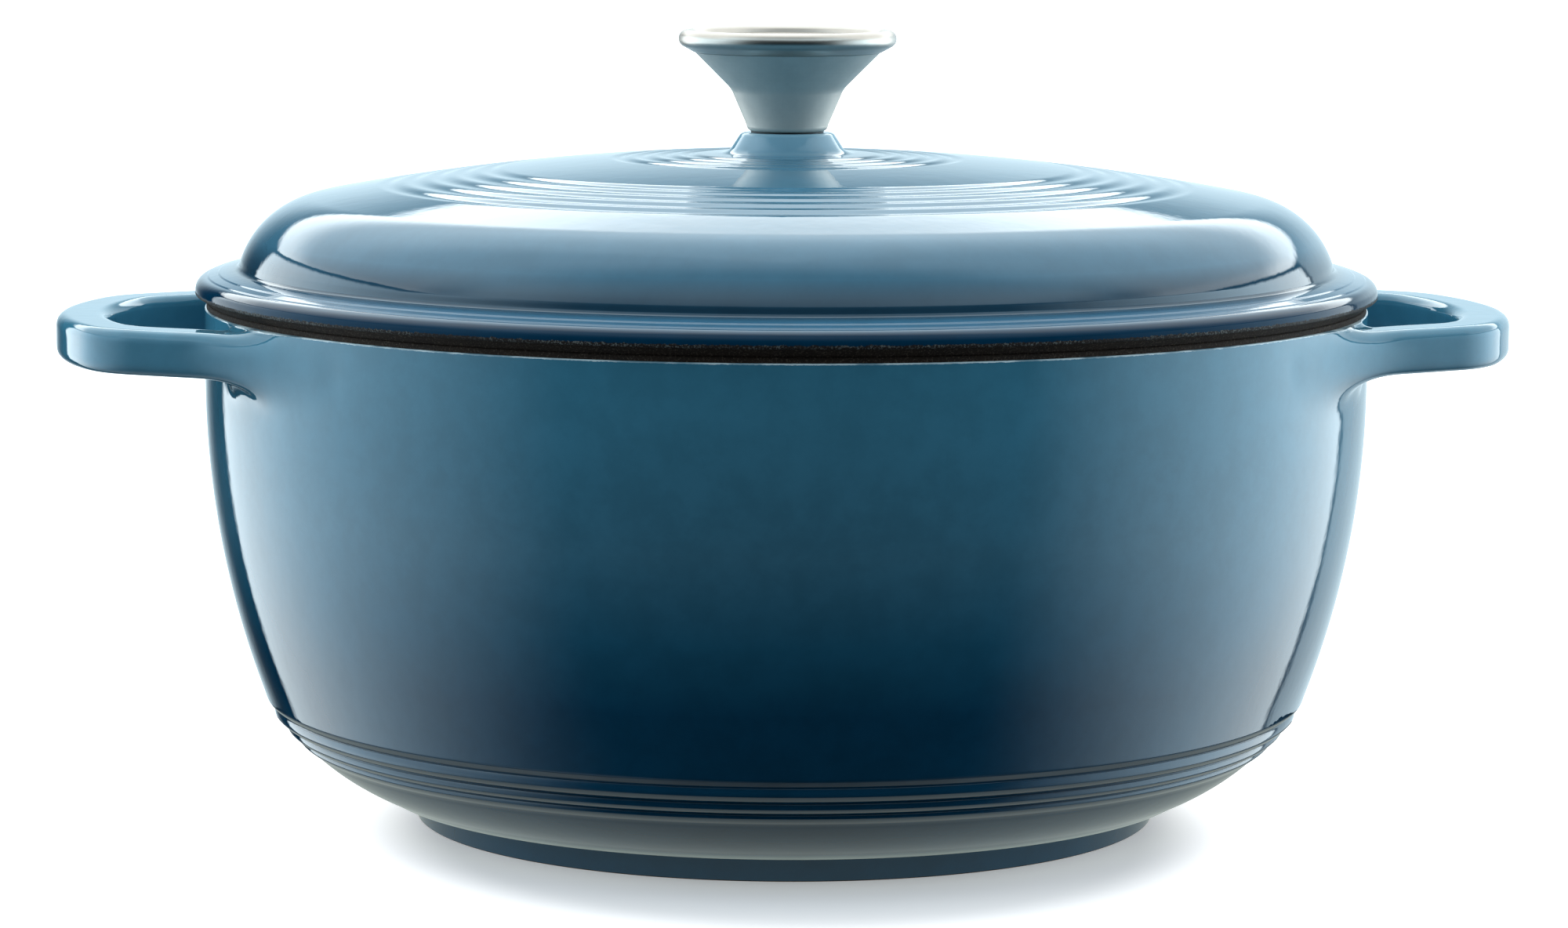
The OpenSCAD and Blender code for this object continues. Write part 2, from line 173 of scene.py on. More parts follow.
REAR_FILLS = {
    "high": (169.2, (22.2, 56.1), (60.3, 28.4), (35.4, 18.7), (89.0, 88.8), 0.74),
    "low": (169.6, (27.5, 3.5), (27.0, 21.3), (-81.6, 21.9), (15.5, 20.0), 1.08),
    "left": (-165.0, (14.0, 8.0), (14.0, 8.0), (-80.0, 20.0), (14.0, 12.0), 0.03),
}
# Where along the banks, by y/|x|, their front part's cast gives way to their rear part's
BANK_SPLIT = (0.6, 0.7)
# Directions nearer level, or nearer straight ahead, than this count as this
LEAST_SLOPE = 0.02
# The paper's own shade, how much faster it turns white to the sides than to the front, and
# the tint and the corners of the paper that lights the pot from below
PAPER_SHADE = 0.84
PAPER_OVAL = (1.25, 1, 1)
BOUNCE_TINT = (0.88, 1, 0.95)
BOUNCE_CORNERS = 64
# The camera's sensor in millimetres, and how far it sees in metres
SENSOR_WIDTH = 36
CLIP_END = 50


# ---- Small helpers for properties ----


def length(name, millimetres, description):
    return FloatProperty(
        name=name, description=description, default=millimetres * MM, unit="LENGTH", precision=5
    )


def angle(name, degrees, description):
    return FloatProperty(
        name=name, description=description, default=math.radians(degrees), unit="ROTATION"
    )


def factor(name, value, description):
    return FloatProperty(name=name, description=description, default=value, precision=4)


def linear(code):
    """Linear colour from an sRGB hex code."""
    parts = [int(code[i : i + 2], 16) / 255 for i in (1, 3, 5)]
    return tuple(c / 12.92 if c <= 0.04045 else ((c + 0.055) / 1.055) ** 2.4 for c in parts)


def colour(name, code, description):
    return FloatVectorProperty(
        name=name, description=description, default=linear(code), subtype="COLOR", min=0, max=1
    )


def cast(name, shares, description):
    return FloatVectorProperty(
        name=name, description=description, default=shares, subtype="COLOR"
    )


# ---- Sizes and finishes ----


class PotSizes(bpy.types.PropertyGroup):
    wall_r: length("Wall radius", 137.5, "Outside radius of the upright part of the wall")
    wall_upright: length("Upright wall", 18.4, "Depth of the upright part below the rim")
    wall_curve_r: length("Wall curve", 212, "Radius of the wall's curve in section")
    wall_t: length("Wall thickness", 4, "Thickness of the wall with both coats")
    floor_z: length("Inner floor", 8.5, "Height of the cooking floor")
    belly_r: length("Inner belly", 47, "Inside radius between the floor and the wall")
    belly_t: length("Belly thickness", 4.4, "Thickness of that curve with both coats")
    ribs_z: length("First rib", 27.5, "Height of the first rib's upper edge")
    ledge_h: length("Ledge", 2.3, "Height from the first rib to the foot of the wall")
    lip_z: length("Belly lip", 6.6, "Height of the belly's lower lip")
    foot_r: length("Foot radius", 88, "Outside radius of the foot ring")
    foot_flare: length("Foot flare", 1, "How much wider the foot is under the lip")
    foot_w: length("Foot width", 7, "Width of the foot ring")
    foot_recess: length("Foot recess", 2.6, "How far the underside is set up")
    foot_bare: length("Bare foot", 0.3, "Height of the foot left bare")
    rim_bare: length("Bare rim", 1.35, "Height of the rim left bare")
    coat_t: length("Coat", 0.4, "Thickness of an enamel coat")


class HandleSizes(bpy.types.PropertyGroup):
    out: length("Reach", 34.7, "How far a handle reaches out past the wall")
    drop: length("Drop", 2.7, "How far the handle's top lies below the rim")
    height: length("Height", 10.4, "Height of the bar")
    width: length("Width", 12.4, "Width of the bar from above")
    edge_r: length("Edge radius", 2.6, "Radius of the bar's edges")
    end_r: length("End radius", 91, "Outside radius of the end from above")
    end_a: angle("End angle", 22.9, "Half the angle that the end takes")
    corner_r: length("Corner radius", 26, "Outside radius of the corners")
    side_a: angle("Side angle", 27.5, "Spread of the side bars towards the pot")
    blend_top: length("Top blend", 3, "Reach of the fillet above the bar")
    blend_under: length("Under blend", 8, "Reach of the fillet under the bar")
    blend_out: length("Outer blend", 15, "Reach of the fillet outside the bar")
    blend_in: length("Inner blend", 5, "Reach of the fillet inside the bar")


class LidSizes(bpy.types.PropertyGroup):
    crown_h: length("Crown height", 34.65, "Height of the crown above the rim")
    crown_r: length("Crown radius", 605, "Radius of the crown's curve")
    shoulder_r: length("Shoulder radius", 22, "Radius between the crown and the side")
    lid_t: length("Lid thickness", 4.4, "Thickness with both coats")
    flange_out: length("Flange reach", 2.2, "How far the flange stands out past the wall")
    flange_w: length("Flange width", 9.5, "Width of the flange's top")
    flange_h: length("Flange height", 7.6, "Height of the flange's top above the rim")
    flange_fall: factor("Flange fall", 0.2, "Fall of the flange's top for each unit outwards")
    flange_edge_r: length("Flange edge", 3.0, "Radius of the flange's upper edge")
    fillet_r: length("Fillet", 1.0, "Radius where the dome meets the flange")
    flange_step: length("Fine step", 0.22, "Depth of each fine step in the flange")
    flange_step_1: length("First step", 4.0, "Distance from the dome to the first fine step")
    flange_step_2: length("Second step", 6.5, "Distance from the dome to the second fine step")
    edge_drop: length("Edge drop", 0.95, "Upright part of the coat below the flange's edge")
    edge_wrap: length("Edge wrap", 0.7, "How far the coat wraps under that edge")
    ring_drop: length("Ring drop", 4, "How far the locating ring reaches down")
    ring_w: length("Ring width", 4, "Width of the locating ring")
    ring_gap: length("Ring gap", 1, "Gap between that ring and the pot")
    outer_rings_gap: length("Outer rings gap", 15.3, "Outer rings to the shoulder")
    outer_rings: IntProperty(name="Outer rings", description="Outer grooves", default=5)
    outer_pitch: length("Outer pitch", 6, "Distance between the outer grooves")
    inner_rings_r: length("Inner rings radius", 20.6, "Where the inner grooves start")
    inner_rings: IntProperty(name="Inner rings", description="Inner grooves", default=4)
    inner_pitch: length("Inner pitch", 5.4, "Distance between the inner grooves")
    groove_h: length("Groove depth", 0.35, "Depth of the grooves")
    boss_h: length("Boss height", 4.75, "Height of the knob's boss")
    boss_r: length("Boss radius", 10.9, "Radius of the boss")
    boss_flare: length("Boss flare", 3.2, "How far the boss flares at its foot")
    boss_edge_r: length("Boss edge", 1.2, "Radius of the boss's edge")
    hole_r: length("Hole radius", 3.3, "Radius of the screw's hole")
    flat_spot: length("Flat spot", 8, "Radius of the flat under the crown")


class KnobSizes(bpy.types.PropertyGroup):
    height: length("Height", 18.2, "Height from the seal to the cone's mouth")
    base_r: length("Base radius", 9.7, "Radius at the base")
    edge_r: length("Base edge", 1.5, "Radius of the base's edge")
    base_sink: length("Base sink", 0.35, "How far the base presses into the seal")
    neck_h: length("Neck height", 7.2, "Height of the neck")
    neck_flare: length("Neck flare", 2.7, "How much the neck widens")
    cone_z: length("Cone height", 10.6, "Height at which the cone starts")
    cone_r: length("Cone radius", 14.3, "Radius at which the cone starts")
    mouth_r: length("Mouth radius", 21.9, "Radius of the cone's mouth")
    sheet_t: length("Sheet", 1.2, "Thickness of the sheet")
    lip_r: length("Lip radius", 25.8, "Radius of the rolled lip")
    bead_r: length("Bead radius", 2.1, "Radius of the bead's section")
    bead_rise: length("Bead rise", 3.3, "Height of the bead above the mouth")
    dish_h: length("Dish depth", 2, "Depth of the dished top")


class Finish(bpy.types.PropertyGroup):
    pot_top: colour("Pot, top", "#417d95", "Enamel at the rim and the handles")
    pot_high: colour("Pot, high", "#3f6e84", "Enamel on the upper wall")
    pot_middle: colour("Pot, middle", "#225770", "Enamel half way down the wall")
    pot_low: colour("Pot, low", "#10405a", "Enamel at the foot of the wall and below")
    lid_crown: colour("Lid, crown", "#426f86", "Enamel over the lid")
    # Painted reflection: the boss's lighter blue stands for the bright overhead light that it
    # reflects
    lid_boss: colour("Lid, boss", "#7fa9bd", "Enamel on the boss under the knob")
    lid_edge: colour("Lid, edge", "#06324b", "Enamel at the lid's edge")
    # Painted shade: the corner's darker blue stands for the shade where the dome meets the flange
    lid_corner: colour("Lid, corner", "#27485c", "Enamel where the dome meets the flange")
    lid_flange: colour("Lid, flange", "#35647f", "Enamel on the flange's top")
    # Painted reflection: this pale grey over the belly's lip stands for the floor that it reflects
    painted_lip_reflection: colour("Pooled", "#9aa6a4", "Enamel that ran down and pooled at the belly's lip")
    # Painted highlight: this pale line stands for the glint on the enamel's rounded edge at the rim
    bead: colour("Bead", "#dcebef", "Thin pale line where the enamel ends at the rim")
    ground: colour("Ground coat", "#2b2422", "Dark coat under the enamel")
    crumbs: colour("Crumbs", "#6a6b68", "Specks in the enamel's ragged edge")
    cream: colour("Cream", "#e6dcc6", "Enamel inside")
    cream_deep: colour("Cream, deep", "#dccfb4", "Darker clouds in the enamel inside")
    iron: colour("Iron", "#211b19", "Bare cast iron")
    rust: colour("Rust", "#35271e", "Faint rust on the iron")
    grain: colour("Grain", "#55493f", "Grains that catch the light on the iron")
    steel: colour("Steel", "#ded5cb", "Brushed steel")
    polished: colour("Polished", "#b8b1a9", "Polished steel")
    zinc: colour("Zinc", "#a9adb0", "Plated fixings")
    rubber: colour("Rubber", "#1d1e20", "Seal")


class StudioSettings(bpy.types.PropertyGroup):
    distance: length("Distance", 1250, "From the camera to the middle of the pot")
    height: length("Height", 239.03, "Height of the camera")
    tilt: angle("Tilt", 7.0909, "How far the camera looks down")
    roll: angle("Roll", 0.2664, "How far the camera leans")
    turn: angle("Turn", 4.3, "How far round the pot the camera stands, to its left")
    lens: factor("Lens", 121.178, "Focal length in millimetres on a sensor 36 mm wide")
    shift: factor("Shift", -0.00108, "Sideways shift of the lens")
    floor: length("Floor", 12000, "Length and width of the paper floor")
    paper_glow: factor("Paper glow", 0.3, "Light that keeps the pot's shadow pale")
    shade_shift: length("Shade shift", 25, "How far in front of the pot its shade is centred")
    shade_r: length("Shade radius", 100, "Where the paper starts to turn white")
    open_r: length("Open radius", 140, "Where the paper is white again")
    bounce_r: length("Bounce radius", 158, "Radius of the paper that lights the pot from below")
    bounce_soft: length("Bounce softness", 5, "How wide the edge of that paper is")
    bounce_shift: length("Bounce shift", 40, "How far behind the pot's middle it lies")
    bounce: factor("Bounce", 0.52, "How bright that paper is")
    cast: cast("Cast", (0.98, 1.05, 1.06), "Cool cast of the studio's light")
    bank_cast: cast("Bank cast", (0.78, 1.01, 1.14), "Cool cast of the banks at the sides")
    bank_rear_cast: cast(
        "Cast of the banks' rear", (0.82, 0.94, 0.99), "Paler cast of the banks' far ends"
    )
    rear_cast: cast("Rear cast", (0.79, 1.0, 1.11), "Cool cast of the light behind the pot")
    fill_cast: cast(
        "Fill cast", (0.76, 1.01, 1.16), "Cooler cast of the light that fills the sides"
    )


GROUPS = {
    "oven_pot": PotSizes,
    "oven_handle": HandleSizes,
    "oven_lid": LidSizes,
    "oven_knob": KnobSizes,
    "oven_finish": Finish,
    "oven_studio": StudioSettings,
}


def settings(group):
    """A group's own properties."""
    return [prop for prop in group.bl_rna.properties if prop.identifier not in ("rna_type", "name")]


def sizes(group):
    """A group's values as plain numbers, lengths in millimetres."""
    values = {}
    for prop in settings(group):
        value = getattr(group, prop.identifier)
        values[prop.identifier] = value / MM if prop.unit == "LENGTH" else value
    return SimpleNamespace(**values)


# ---- Outlines: x is the radius and y the height, in millimetres ----


def arc(centre, r, start, end, steps):
    """Points on an arc between two angles in degrees."""
    turns = np.radians(np.linspace(start, end, steps + 1))
    return [(centre[0] + r * math.cos(a), centre[1] + r * math.sin(a)) for a in turns]


def bend(a, b, c, steps):
    """Points on a curve that leaves a towards b and arrives at c from b."""
    a, b, c = (np.array(p, float) for p in (a, b, c))
    shares = np.linspace(0, 1, steps + 1)
    return [tuple((1 - t) ** 2 * a + 2 * t * (1 - t) * b + t * t * c) for t in shares]


def rounded(points, r, steps=5):
    """A line through points whose inner corners are rounded by bends of reach r."""
    points = [np.array(p, float) for p in points]
    line = [tuple(points[0])]
    for before, corner, after in zip(points, points[1:], points[2:]):
        back, on = before - corner, after - corner
        back_l, on_l = np.linalg.norm(back), np.linalg.norm(on)
        reach = min(r, back_l * 0.45, on_l * 0.45)
        line += bend(corner + back / back_l * reach, corner, corner + on / on_l * reach, steps)
    return line + [tuple(points[-1])]


def graded(points, longest=LONGEST_STEP, ratio=STEP_RATIO):
    """The same line with long steps split, so neighbouring steps differ little in length."""
    points = [np.array(p, float) for p in points]
    for _ in range(SPLIT_ROUNDS):
        steps = [np.linalg.norm(b - a) for a, b in zip(points, points[1:])]
        around = [longest, *steps, longest]
        out = [points[0]]
        for i, step in enumerate(steps):
            near = min(around[i], around[i + 2])
            if step > longest or step > ratio * near + 1e-9:
                out.append((points[i] + points[i + 1]) / 2)
            out.append(points[i + 1])
        if len(out) == len(points):
            break
        points = out
    return [tuple(p) for p in points]


def pot_curves(s):
    """Middles and radii of the wall's and the belly's curves."""
    rim_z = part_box("pot_casting")[1].z / MM
    wall = (s.wall_r - s.wall_curve_r, rim_z - s.wall_upright)
    reach = s.wall_curve_r - s.wall_t - s.belly_r
    drop = wall[1] - s.floor_z - s.belly_r
    belly = (wall[0] + math.sqrt(reach**2 - drop**2), s.floor_z + s.belly_r)
    return SimpleNamespace(rim_z=rim_z, wall=wall, belly=belly, belly_r=s.belly_r + s.belly_t)


def belly_at(c, z):
    """Radius of the belly's outside at height z."""
    return c.belly[0] + math.sqrt(c.belly_r**2 - (c.belly[1] - z) ** 2)


def wall_at(s, c, z):
    """Radius of the wall's outside at height z."""
    z = np.minimum(z, c.wall[1])
    return c.wall[0] + np.sqrt(s.wall_curve_r**2 - (c.wall[1] - z) ** 2)


def on_wall(s, c, z):
    return float(wall_at(s, c, z)), z


def belly_angle(c, z):
    """Angle of the belly's outside at height z, as arc takes it."""
    return -math.degrees(math.asin((c.belly[1] - z) / c.belly_r))


def pot_skin(s):
    """The pot's enamelled outside, from the foot up to the rim."""
    c = pot_curves(s)
    belly_low = s.lip_z + LIP_ROUND
    foot = rounded(
        [
            (s.foot_r, s.foot_bare),
            (s.foot_r + s.foot_flare, s.lip_z - 0.3),
            (belly_at(c, s.lip_z + 0.5), s.lip_z),
            (belly_at(c, belly_low), belly_low),
        ],
        r=0.7,
    )
    below = s.ribs_z - sum(riser + slope for riser, slope in RIBS)
    low_a, high_a = belly_angle(c, belly_low), belly_angle(c, below)
    points = foot[:-1] + arc(c.belly, c.belly_r, low_a, high_a, steps=14)[:-1]
    for riser, slope in reversed(RIBS):
        knee = below + slope
        top = knee + riser
        r = belly_at(c, top)
        start = (belly_at(c, below) - RIB_SINK, below)
        middle = (r - slope * RIB_BEND[0], below + slope * RIB_BEND[1])
        points += bend(start, middle, (r, knee), steps=8) + [(r, top - 0.3)]
        below = top
    ledge_z = s.ribs_z + s.ledge_h
    wall_low = ledge_z + 1
    start = (belly_at(c, s.ribs_z) - RIB_SINK, s.ribs_z)
    corner = (on_wall(s, c, ledge_z)[0], ledge_z - 0.25)
    points += rounded([start, corner, on_wall(s, c, wall_low)], r=0.5)[:-1]
    points = graded(points)
    low, high = ROOT_Z
    near = low - 8
    heights = [
        *(wall_low + (near - wall_low) * np.linspace(0, 1, 26)[1:] ** 1.15),
        *np.linspace(near, low, 6)[1:],
        *np.linspace(low, high, ROOT_UP + 1)[1:],
    ]
    points += [on_wall(s, c, z) for z in heights]
    top = c.rim_z - s.rim_bare
    points += bend((s.wall_r, top - 0.45), (s.wall_r, top), (s.wall_r - s.coat_t, top), steps=4)
    return points, c


def cavity_skin(s, c, grow):
    """The pot's inside from the middle of the floor to the rim, moved out by grow."""
    wall_r = s.wall_curve_r - s.wall_t
    meet = -math.degrees(math.asin((c.wall[1] - c.belly[1]) / (wall_r - s.belly_r)))
    return (
        [(0, s.floor_z - grow)]
        + arc(c.belly, s.belly_r + grow, -90, meet, steps=40)
        + arc(c.wall, wall_r + grow, meet, 0, steps=16)[1:]
        + [(s.wall_r - s.wall_t + grow, c.rim_z - s.rim_bare)]
    )


def lid_curves(s):
    """Places that the lid's outlines share."""
    rim_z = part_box("pot_casting")[1].z / MM
    pot = sizes(bpy.context.scene.oven_pot)
    crown_z = rim_z + s.crown_h
    crown_c = (0, crown_z - s.crown_r)
    flange_r = pot.wall_r + s.flange_out
    dome_r = flange_r - s.flange_w
    shoulder_x = dome_r - s.shoulder_r
    rise = math.sqrt((s.crown_r - s.shoulder_r) ** 2 - shoulder_x**2)
    shoulder_c = (shoulder_x, crown_c[1] + rise)
    shoulder_a = 90 - math.degrees(math.asin(shoulder_x / (s.crown_r - s.shoulder_r)))
    crown_end = s.crown_r * math.cos(math.radians(shoulder_a))
    return SimpleNamespace(
        rim_z=rim_z,
        crown_z=crown_z,
        crown_c=crown_c,
        flange_r=flange_r,
        dome_r=dome_r,
        flange_z=rim_z + s.flange_h,
        shoulder_c=shoulder_c,
        shoulder_a=shoulder_a,
        crown_end=crown_end,
        outer_rings_r=crown_end - s.outer_rings_gap - s.outer_rings * s.outer_pitch,
        boss_z=crown_z + s.boss_h,
        ring_out=pot.wall_r - pot.wall_t - s.ring_gap,
    )


def crown_radii(s, c, start, fine):
    """Radii over the crown: fine steps across the grooves and coarse ones elsewhere."""
    grooved = [
        (s.inner_rings_r, s.inner_rings_r + s.inner_rings * s.inner_pitch),
        (c.outer_rings_r, c.outer_rings_r + s.outer_rings * s.outer_pitch),
    ]
    radii, r = [], start
    while r < c.crown_end - 0.4:
        radii.append(r)
        near = any(low - COARSE_STEP <= r < high + fine for low, high in grooved)
        r += fine if near else COARSE_STEP
    return radii


def lid_skin(s, c, inset):
    """The lid's outside from the boss to the flange's edge, set in by inset, and the height
    at which the flange's rounded edge ends."""

    def crown_at(r):
        return c.crown_c[1] + math.sqrt((s.crown_r - inset) ** 2 - r * r)

    def flange_at(r, steps=0):
        return c.flange_z - inset - s.flange_fall * (r - c.dome_r) - steps * s.flange_step

    edge_r, top_z = s.boss_edge_r, c.boss_z - inset
    side = (s.boss_r + 0.5 - inset, c.boss_z - 0.7 * edge_r)
    foot = s.boss_r + s.boss_flare
    waist = (foot - 0.9 - inset, crown_at(foot) + 1.3)
    heel = (foot - 0.3 - inset, crown_at(foot) + 0.3)
    boss = (
        [(s.hole_r, top_z), (s.boss_r - edge_r - 2, top_z)]
        + bend((s.boss_r - edge_r, top_z), (s.boss_r - inset, top_z), side, steps=8)
        + bend(waist, heel, (foot + 1.6, crown_at(foot + 1.6)), steps=10)
    )
    # The hidden side of the coat and the iron under it need fewer steps
    fine, dome_steps = (COARSE_STEP, 12) if inset else (FINE_STEP, 40)
    crown = [(r, crown_at(r)) for r in crown_radii(s, c, math.ceil(foot + 1.9), fine)]
    foot_a = math.degrees(math.asin((c.flange_z + s.fillet_r - c.shoulder_c[1]) / s.shoulder_r))
    dome = arc(c.shoulder_c, s.shoulder_r - inset, c.shoulder_a, foot_a, dome_steps)
    fall = dome[-1][1] - flange_at(c.dome_r)
    corner_r = dome[-1][0] + fall * math.tan(math.radians(foot_a))
    far_r = corner_r + s.fillet_r
    corner, far = (corner_r, flange_at(corner_r)), (far_r, flange_at(far_r))
    top = bend(dome[-1], corner, far, steps=8)[1:]
    for n, r in enumerate((c.dome_r + s.flange_step_1, c.dome_r + s.flange_step_2)):
        for away, below, lift in ((-0.25, 0, 0), (-0.08, 0, -0.02), (0.08, 1, 0.02), (0.25, 1, 0)):
            top.append((r + away, flange_at(r + away, n + below) + lift))
    slope_a = 90 - math.degrees(math.atan(s.flange_fall))
    edge_x = c.flange_r - s.flange_edge_r
    brim_r = edge_x + s.flange_edge_r * math.cos(math.radians(slope_a))
    edge_z = (
        flange_at(brim_r, 2) + inset - s.flange_edge_r * math.sin(math.radians(slope_a))
    )
    brim = arc((edge_x, edge_z), s.flange_edge_r - inset, slope_a, 0, steps=10)
    return boss + crown + dome + top + brim, edge_z


def under_skin(s, c, grow):
    """The lid's inside from the screw's hole to the locating ring's edge."""
    crown_r = s.crown_r - s.lid_t
    start = 90 - math.degrees(math.asin(s.flat_spot / crown_r))
    ring_in = c.ring_out - s.ring_w + grow
    return (
        [(s.hole_r, c.crown_c[1] + (crown_r + grow) * math.sin(math.radians(start)))]
        + arc(c.crown_c, crown_r + grow, start, c.shoulder_a, steps=30)
        + arc(c.shoulder_c, s.shoulder_r - s.lid_t + grow, c.shoulder_a, 0, steps=30)[1:]
        + [(ring_in, c.rim_z - s.ring_drop / 2), (ring_in, c.rim_z - s.ring_drop)]
    )


# ---- Nodes, and the trees that make forms ----


def add(tree, kind, inputs=None, **settings):
    """Adds a node; inputs maps a socket's name or number to a value or to an output to link."""
    made = tree.nodes.new(kind)
    for key, value in settings.items():
        setattr(made, key, value)
    for key, value in (inputs or {}).items():
        socket = made.inputs[key]
        if isinstance(value, bpy.types.NodeSocket):
            tree.links.new(value, socket)
        else:
            socket.default_value = value
    return made


def maths(tree, operation, *values):
    return add(tree, "ShaderNodeMath", dict(enumerate(values)), operation=operation).outputs[0]


def product(tree, *values):
    return reduce(lambda a, b: maths(tree, "MULTIPLY", a, b), values)


def total(tree, *values):
    return reduce(lambda a, b: maths(tree, "ADD", a, b), values)


def between(tree, value, low, high, start=0.0, end=1.0):
    """The value mapped smoothly from low..high to start..end, and held outside."""
    limits = {"Value": value, "From Min": low, "From Max": high, "To Min": start, "To Max": end}
    made = add(tree, "ShaderNodeMapRange", limits, interpolation_type="SMOOTHSTEP")
    return made.outputs[0]


def form_tree(name, inputs):
    """An empty geometry tree with named inputs; returns it and its input node."""
    tree = bpy.data.node_groups.new(name, "GeometryNodeTree")
    tree.is_modifier = True
    tree.interface.new_socket("Outline", in_out="INPUT", socket_type="NodeSocketGeometry")
    for label, kind, value in inputs:
        socket = tree.interface.new_socket(label, in_out="INPUT", socket_type=kind)
        if value is not None:
            socket.default_value = value
    tree.interface.new_socket("Form", in_out="OUTPUT", socket_type="NodeSocketGeometry")
    return tree, add(tree, "NodeGroupInput")


def finish_tree(tree, form, material):
    real = add(tree, "GeometryNodeRealizeInstances", {"Geometry": form})
    inputs = {"Geometry": real.outputs[0], "Material": material}
    dressed = add(tree, "GeometryNodeSetMaterial", inputs)
    add(tree, "NodeGroupOutput", {"Form": dressed.outputs[0]})


def turning_tree():
    """Turns an outline, drawn with its radius along X and its height along Y, round the Z axis."""
    tree, given = form_tree(
        "turned_form",
        [
            ("Steps", "NodeSocketInt", TURN_STEPS),
            ("Circle radius", "NodeSocketFloat", TURN_RADIUS),
            ("Same point", "NodeSocketFloat", SAME_POINT),
            ("Finish", "NodeSocketMaterial", None),
        ],
    )
    radius = given.outputs["Circle radius"]
    moved = add(tree, "ShaderNodeCombineXYZ", {"X": maths(tree, "MULTIPLY", radius, -1.0)})
    line = add(tree, "GeometryNodeMeshToCurve", {"Mesh": given.outputs["Outline"]})
    # A level circle's second axis points down, so the outline's heights are turned over for it
    line = add(
        tree,
        "GeometryNodeTransform",
        {"Geometry": line.outputs[0], "Translation": moved.outputs[0], "Scale": (1, -1, 1)},
    )
    circle = add(
        tree,
        "GeometryNodeCurvePrimitiveCircle",
        {"Resolution": given.outputs["Steps"], "Radius": radius},
        mode="RADIUS",
    )
    level = add(tree, "GeometryNodeSetCurveNormal", {"Curve": circle.outputs[0]}, mode="Z_UP")
    both = {"Curve": level.outputs[0], "Profile Curve": line.outputs[0]}
    skin = add(tree, "GeometryNodeCurveToMesh", both)
    closed = add(
        tree,
        "GeometryNodeMergeByDistance",
        {"Geometry": skin.outputs[0], "Distance": given.outputs["Same point"]},
    )
    smooth = add(tree, "GeometryNodeSetShadeSmooth", {"Geometry": closed.outputs[0]})
    finish_tree(tree, smooth.outputs[0], given.outputs["Finish"])
    return tree


def rings_tree():
    """Sinks a group of ring grooves, whose section is a wave, into a form turned round Z."""
    tree, given = form_tree(
        "ring_grooves",
        [
            ("Start", "NodeSocketFloat", 0.0),
            ("Pitch", "NodeSocketFloat", 0.006),
            ("Count", "NodeSocketInt", 4),
            ("Depth", "NodeSocketFloat", 0.0003),
            ("Finish", "NodeSocketMaterial", None),
        ],
    )
    place = add(tree, "GeometryNodeInputPosition").outputs[0]
    flat = add(tree, "ShaderNodeVectorMath", {0: place, 1: (1, 1, 0)}, operation="MULTIPLY")
    radius = add(tree, "ShaderNodeVectorMath", {0: flat.outputs[0]}, operation="LENGTH")
    past = maths(tree, "SUBTRACT", radius.outputs["Value"], given.outputs["Start"])
    along = maths(tree, "DIVIDE", past, given.outputs["Pitch"])
    started = maths(tree, "GREATER_THAN", along, 0.0)
    unfinished = maths(tree, "LESS_THAN", along, given.outputs["Count"])
    turn = maths(tree, "COSINE", maths(tree, "MULTIPLY", along, 2 * math.pi))
    wave = maths(tree, "SUBTRACT", 1.0, turn)
    half_depth = maths(tree, "MULTIPLY", given.outputs["Depth"], -0.5)
    sink = product(tree, wave, started, unfinished, half_depth)
    offset = add(tree, "ShaderNodeCombineXYZ", {"Z": sink}).outputs[0]
    moved = {"Geometry": given.outputs["Outline"], "Offset": offset}
    sunk = add(tree, "GeometryNodeSetPosition", moved)
    finish_tree(tree, sunk.outputs[0], given.outputs["Finish"])
    return tree


def give(obj, tree, values):
    """Puts a geometry tree on an object and sets its named inputs."""
    modifier = obj.modifiers.new(tree.name, "NODES")
    modifier.node_group = tree
    for item in tree.interface.items_tree:
        if item.item_type == "SOCKET" and item.name in values:
            modifier[item.identifier] = values[item.name]


def settle(obj):
    """Turns an object's modifiers into its mesh and takes them off."""
    graph = bpy.context.evaluated_depsgraph_get()
    graph.update()
    mesh = bpy.data.meshes.new_from_object(obj.evaluated_get(graph), depsgraph=graph)
    obj.modifiers.clear()
    old, obj.data = obj.data, mesh
    mesh.name = obj.name
    bpy.data.meshes.remove(old)


def new_object(name, mesh):
    obj = bpy.data.objects.new(name, mesh)
    bpy.context.scene.collection.objects.link(obj)
    return obj


def tree_named(name, make):
    return bpy.data.node_groups.get(name) or make()


def face_out(mesh, sharp=None):
    """Faces of a closed mesh made to point outwards, with edges over an angle kept sharp."""
    work = bmesh.new()
    work.from_mesh(mesh)
    bmesh.ops.recalc_face_normals(work, faces=work.faces)
    work.to_mesh(mesh)
    work.free()
    if sharp:
        mesh.set_sharp_from_angle(angle=math.radians(sharp))


def turned(name, outline, material, closed, rings=(), sharp=None):
    """A piece turned from an outline in millimetres; rings are groups of grooves in it."""
    points = [(r * MM, z * MM, 0) for r, z in outline]
    edges = [(i, i + 1) for i in range(len(points) - 1)]
    if closed:
        edges.append((len(points) - 1, 0))
    mesh = bpy.data.meshes.new(name)
    mesh.from_pydata(points, edges, [])
    obj = new_object(name, mesh)
    give(obj, tree_named("turned_form", turning_tree), {"Finish": material})
    for ring in rings:
        give(obj, tree_named("ring_grooves", rings_tree), {**ring, "Finish": material})
    settle(obj)
    face_out(obj.data, sharp)
    return obj


# ---- Handles, grown out of the pot's skin ----


def toward(a):
    return np.array([math.cos(a), math.sin(a)])


def bar_frame(s, wall_r):
    """Centres of the +X handle's end and upper corner, and its side bar's turn, in plan."""
    end_c = np.array([wall_r + s.out - s.end_r, 0.0])
    corner_c = end_c + (s.end_r - s.corner_r) * toward(s.end_a)
    return end_c, corner_c, math.pi / 2 - s.side_a


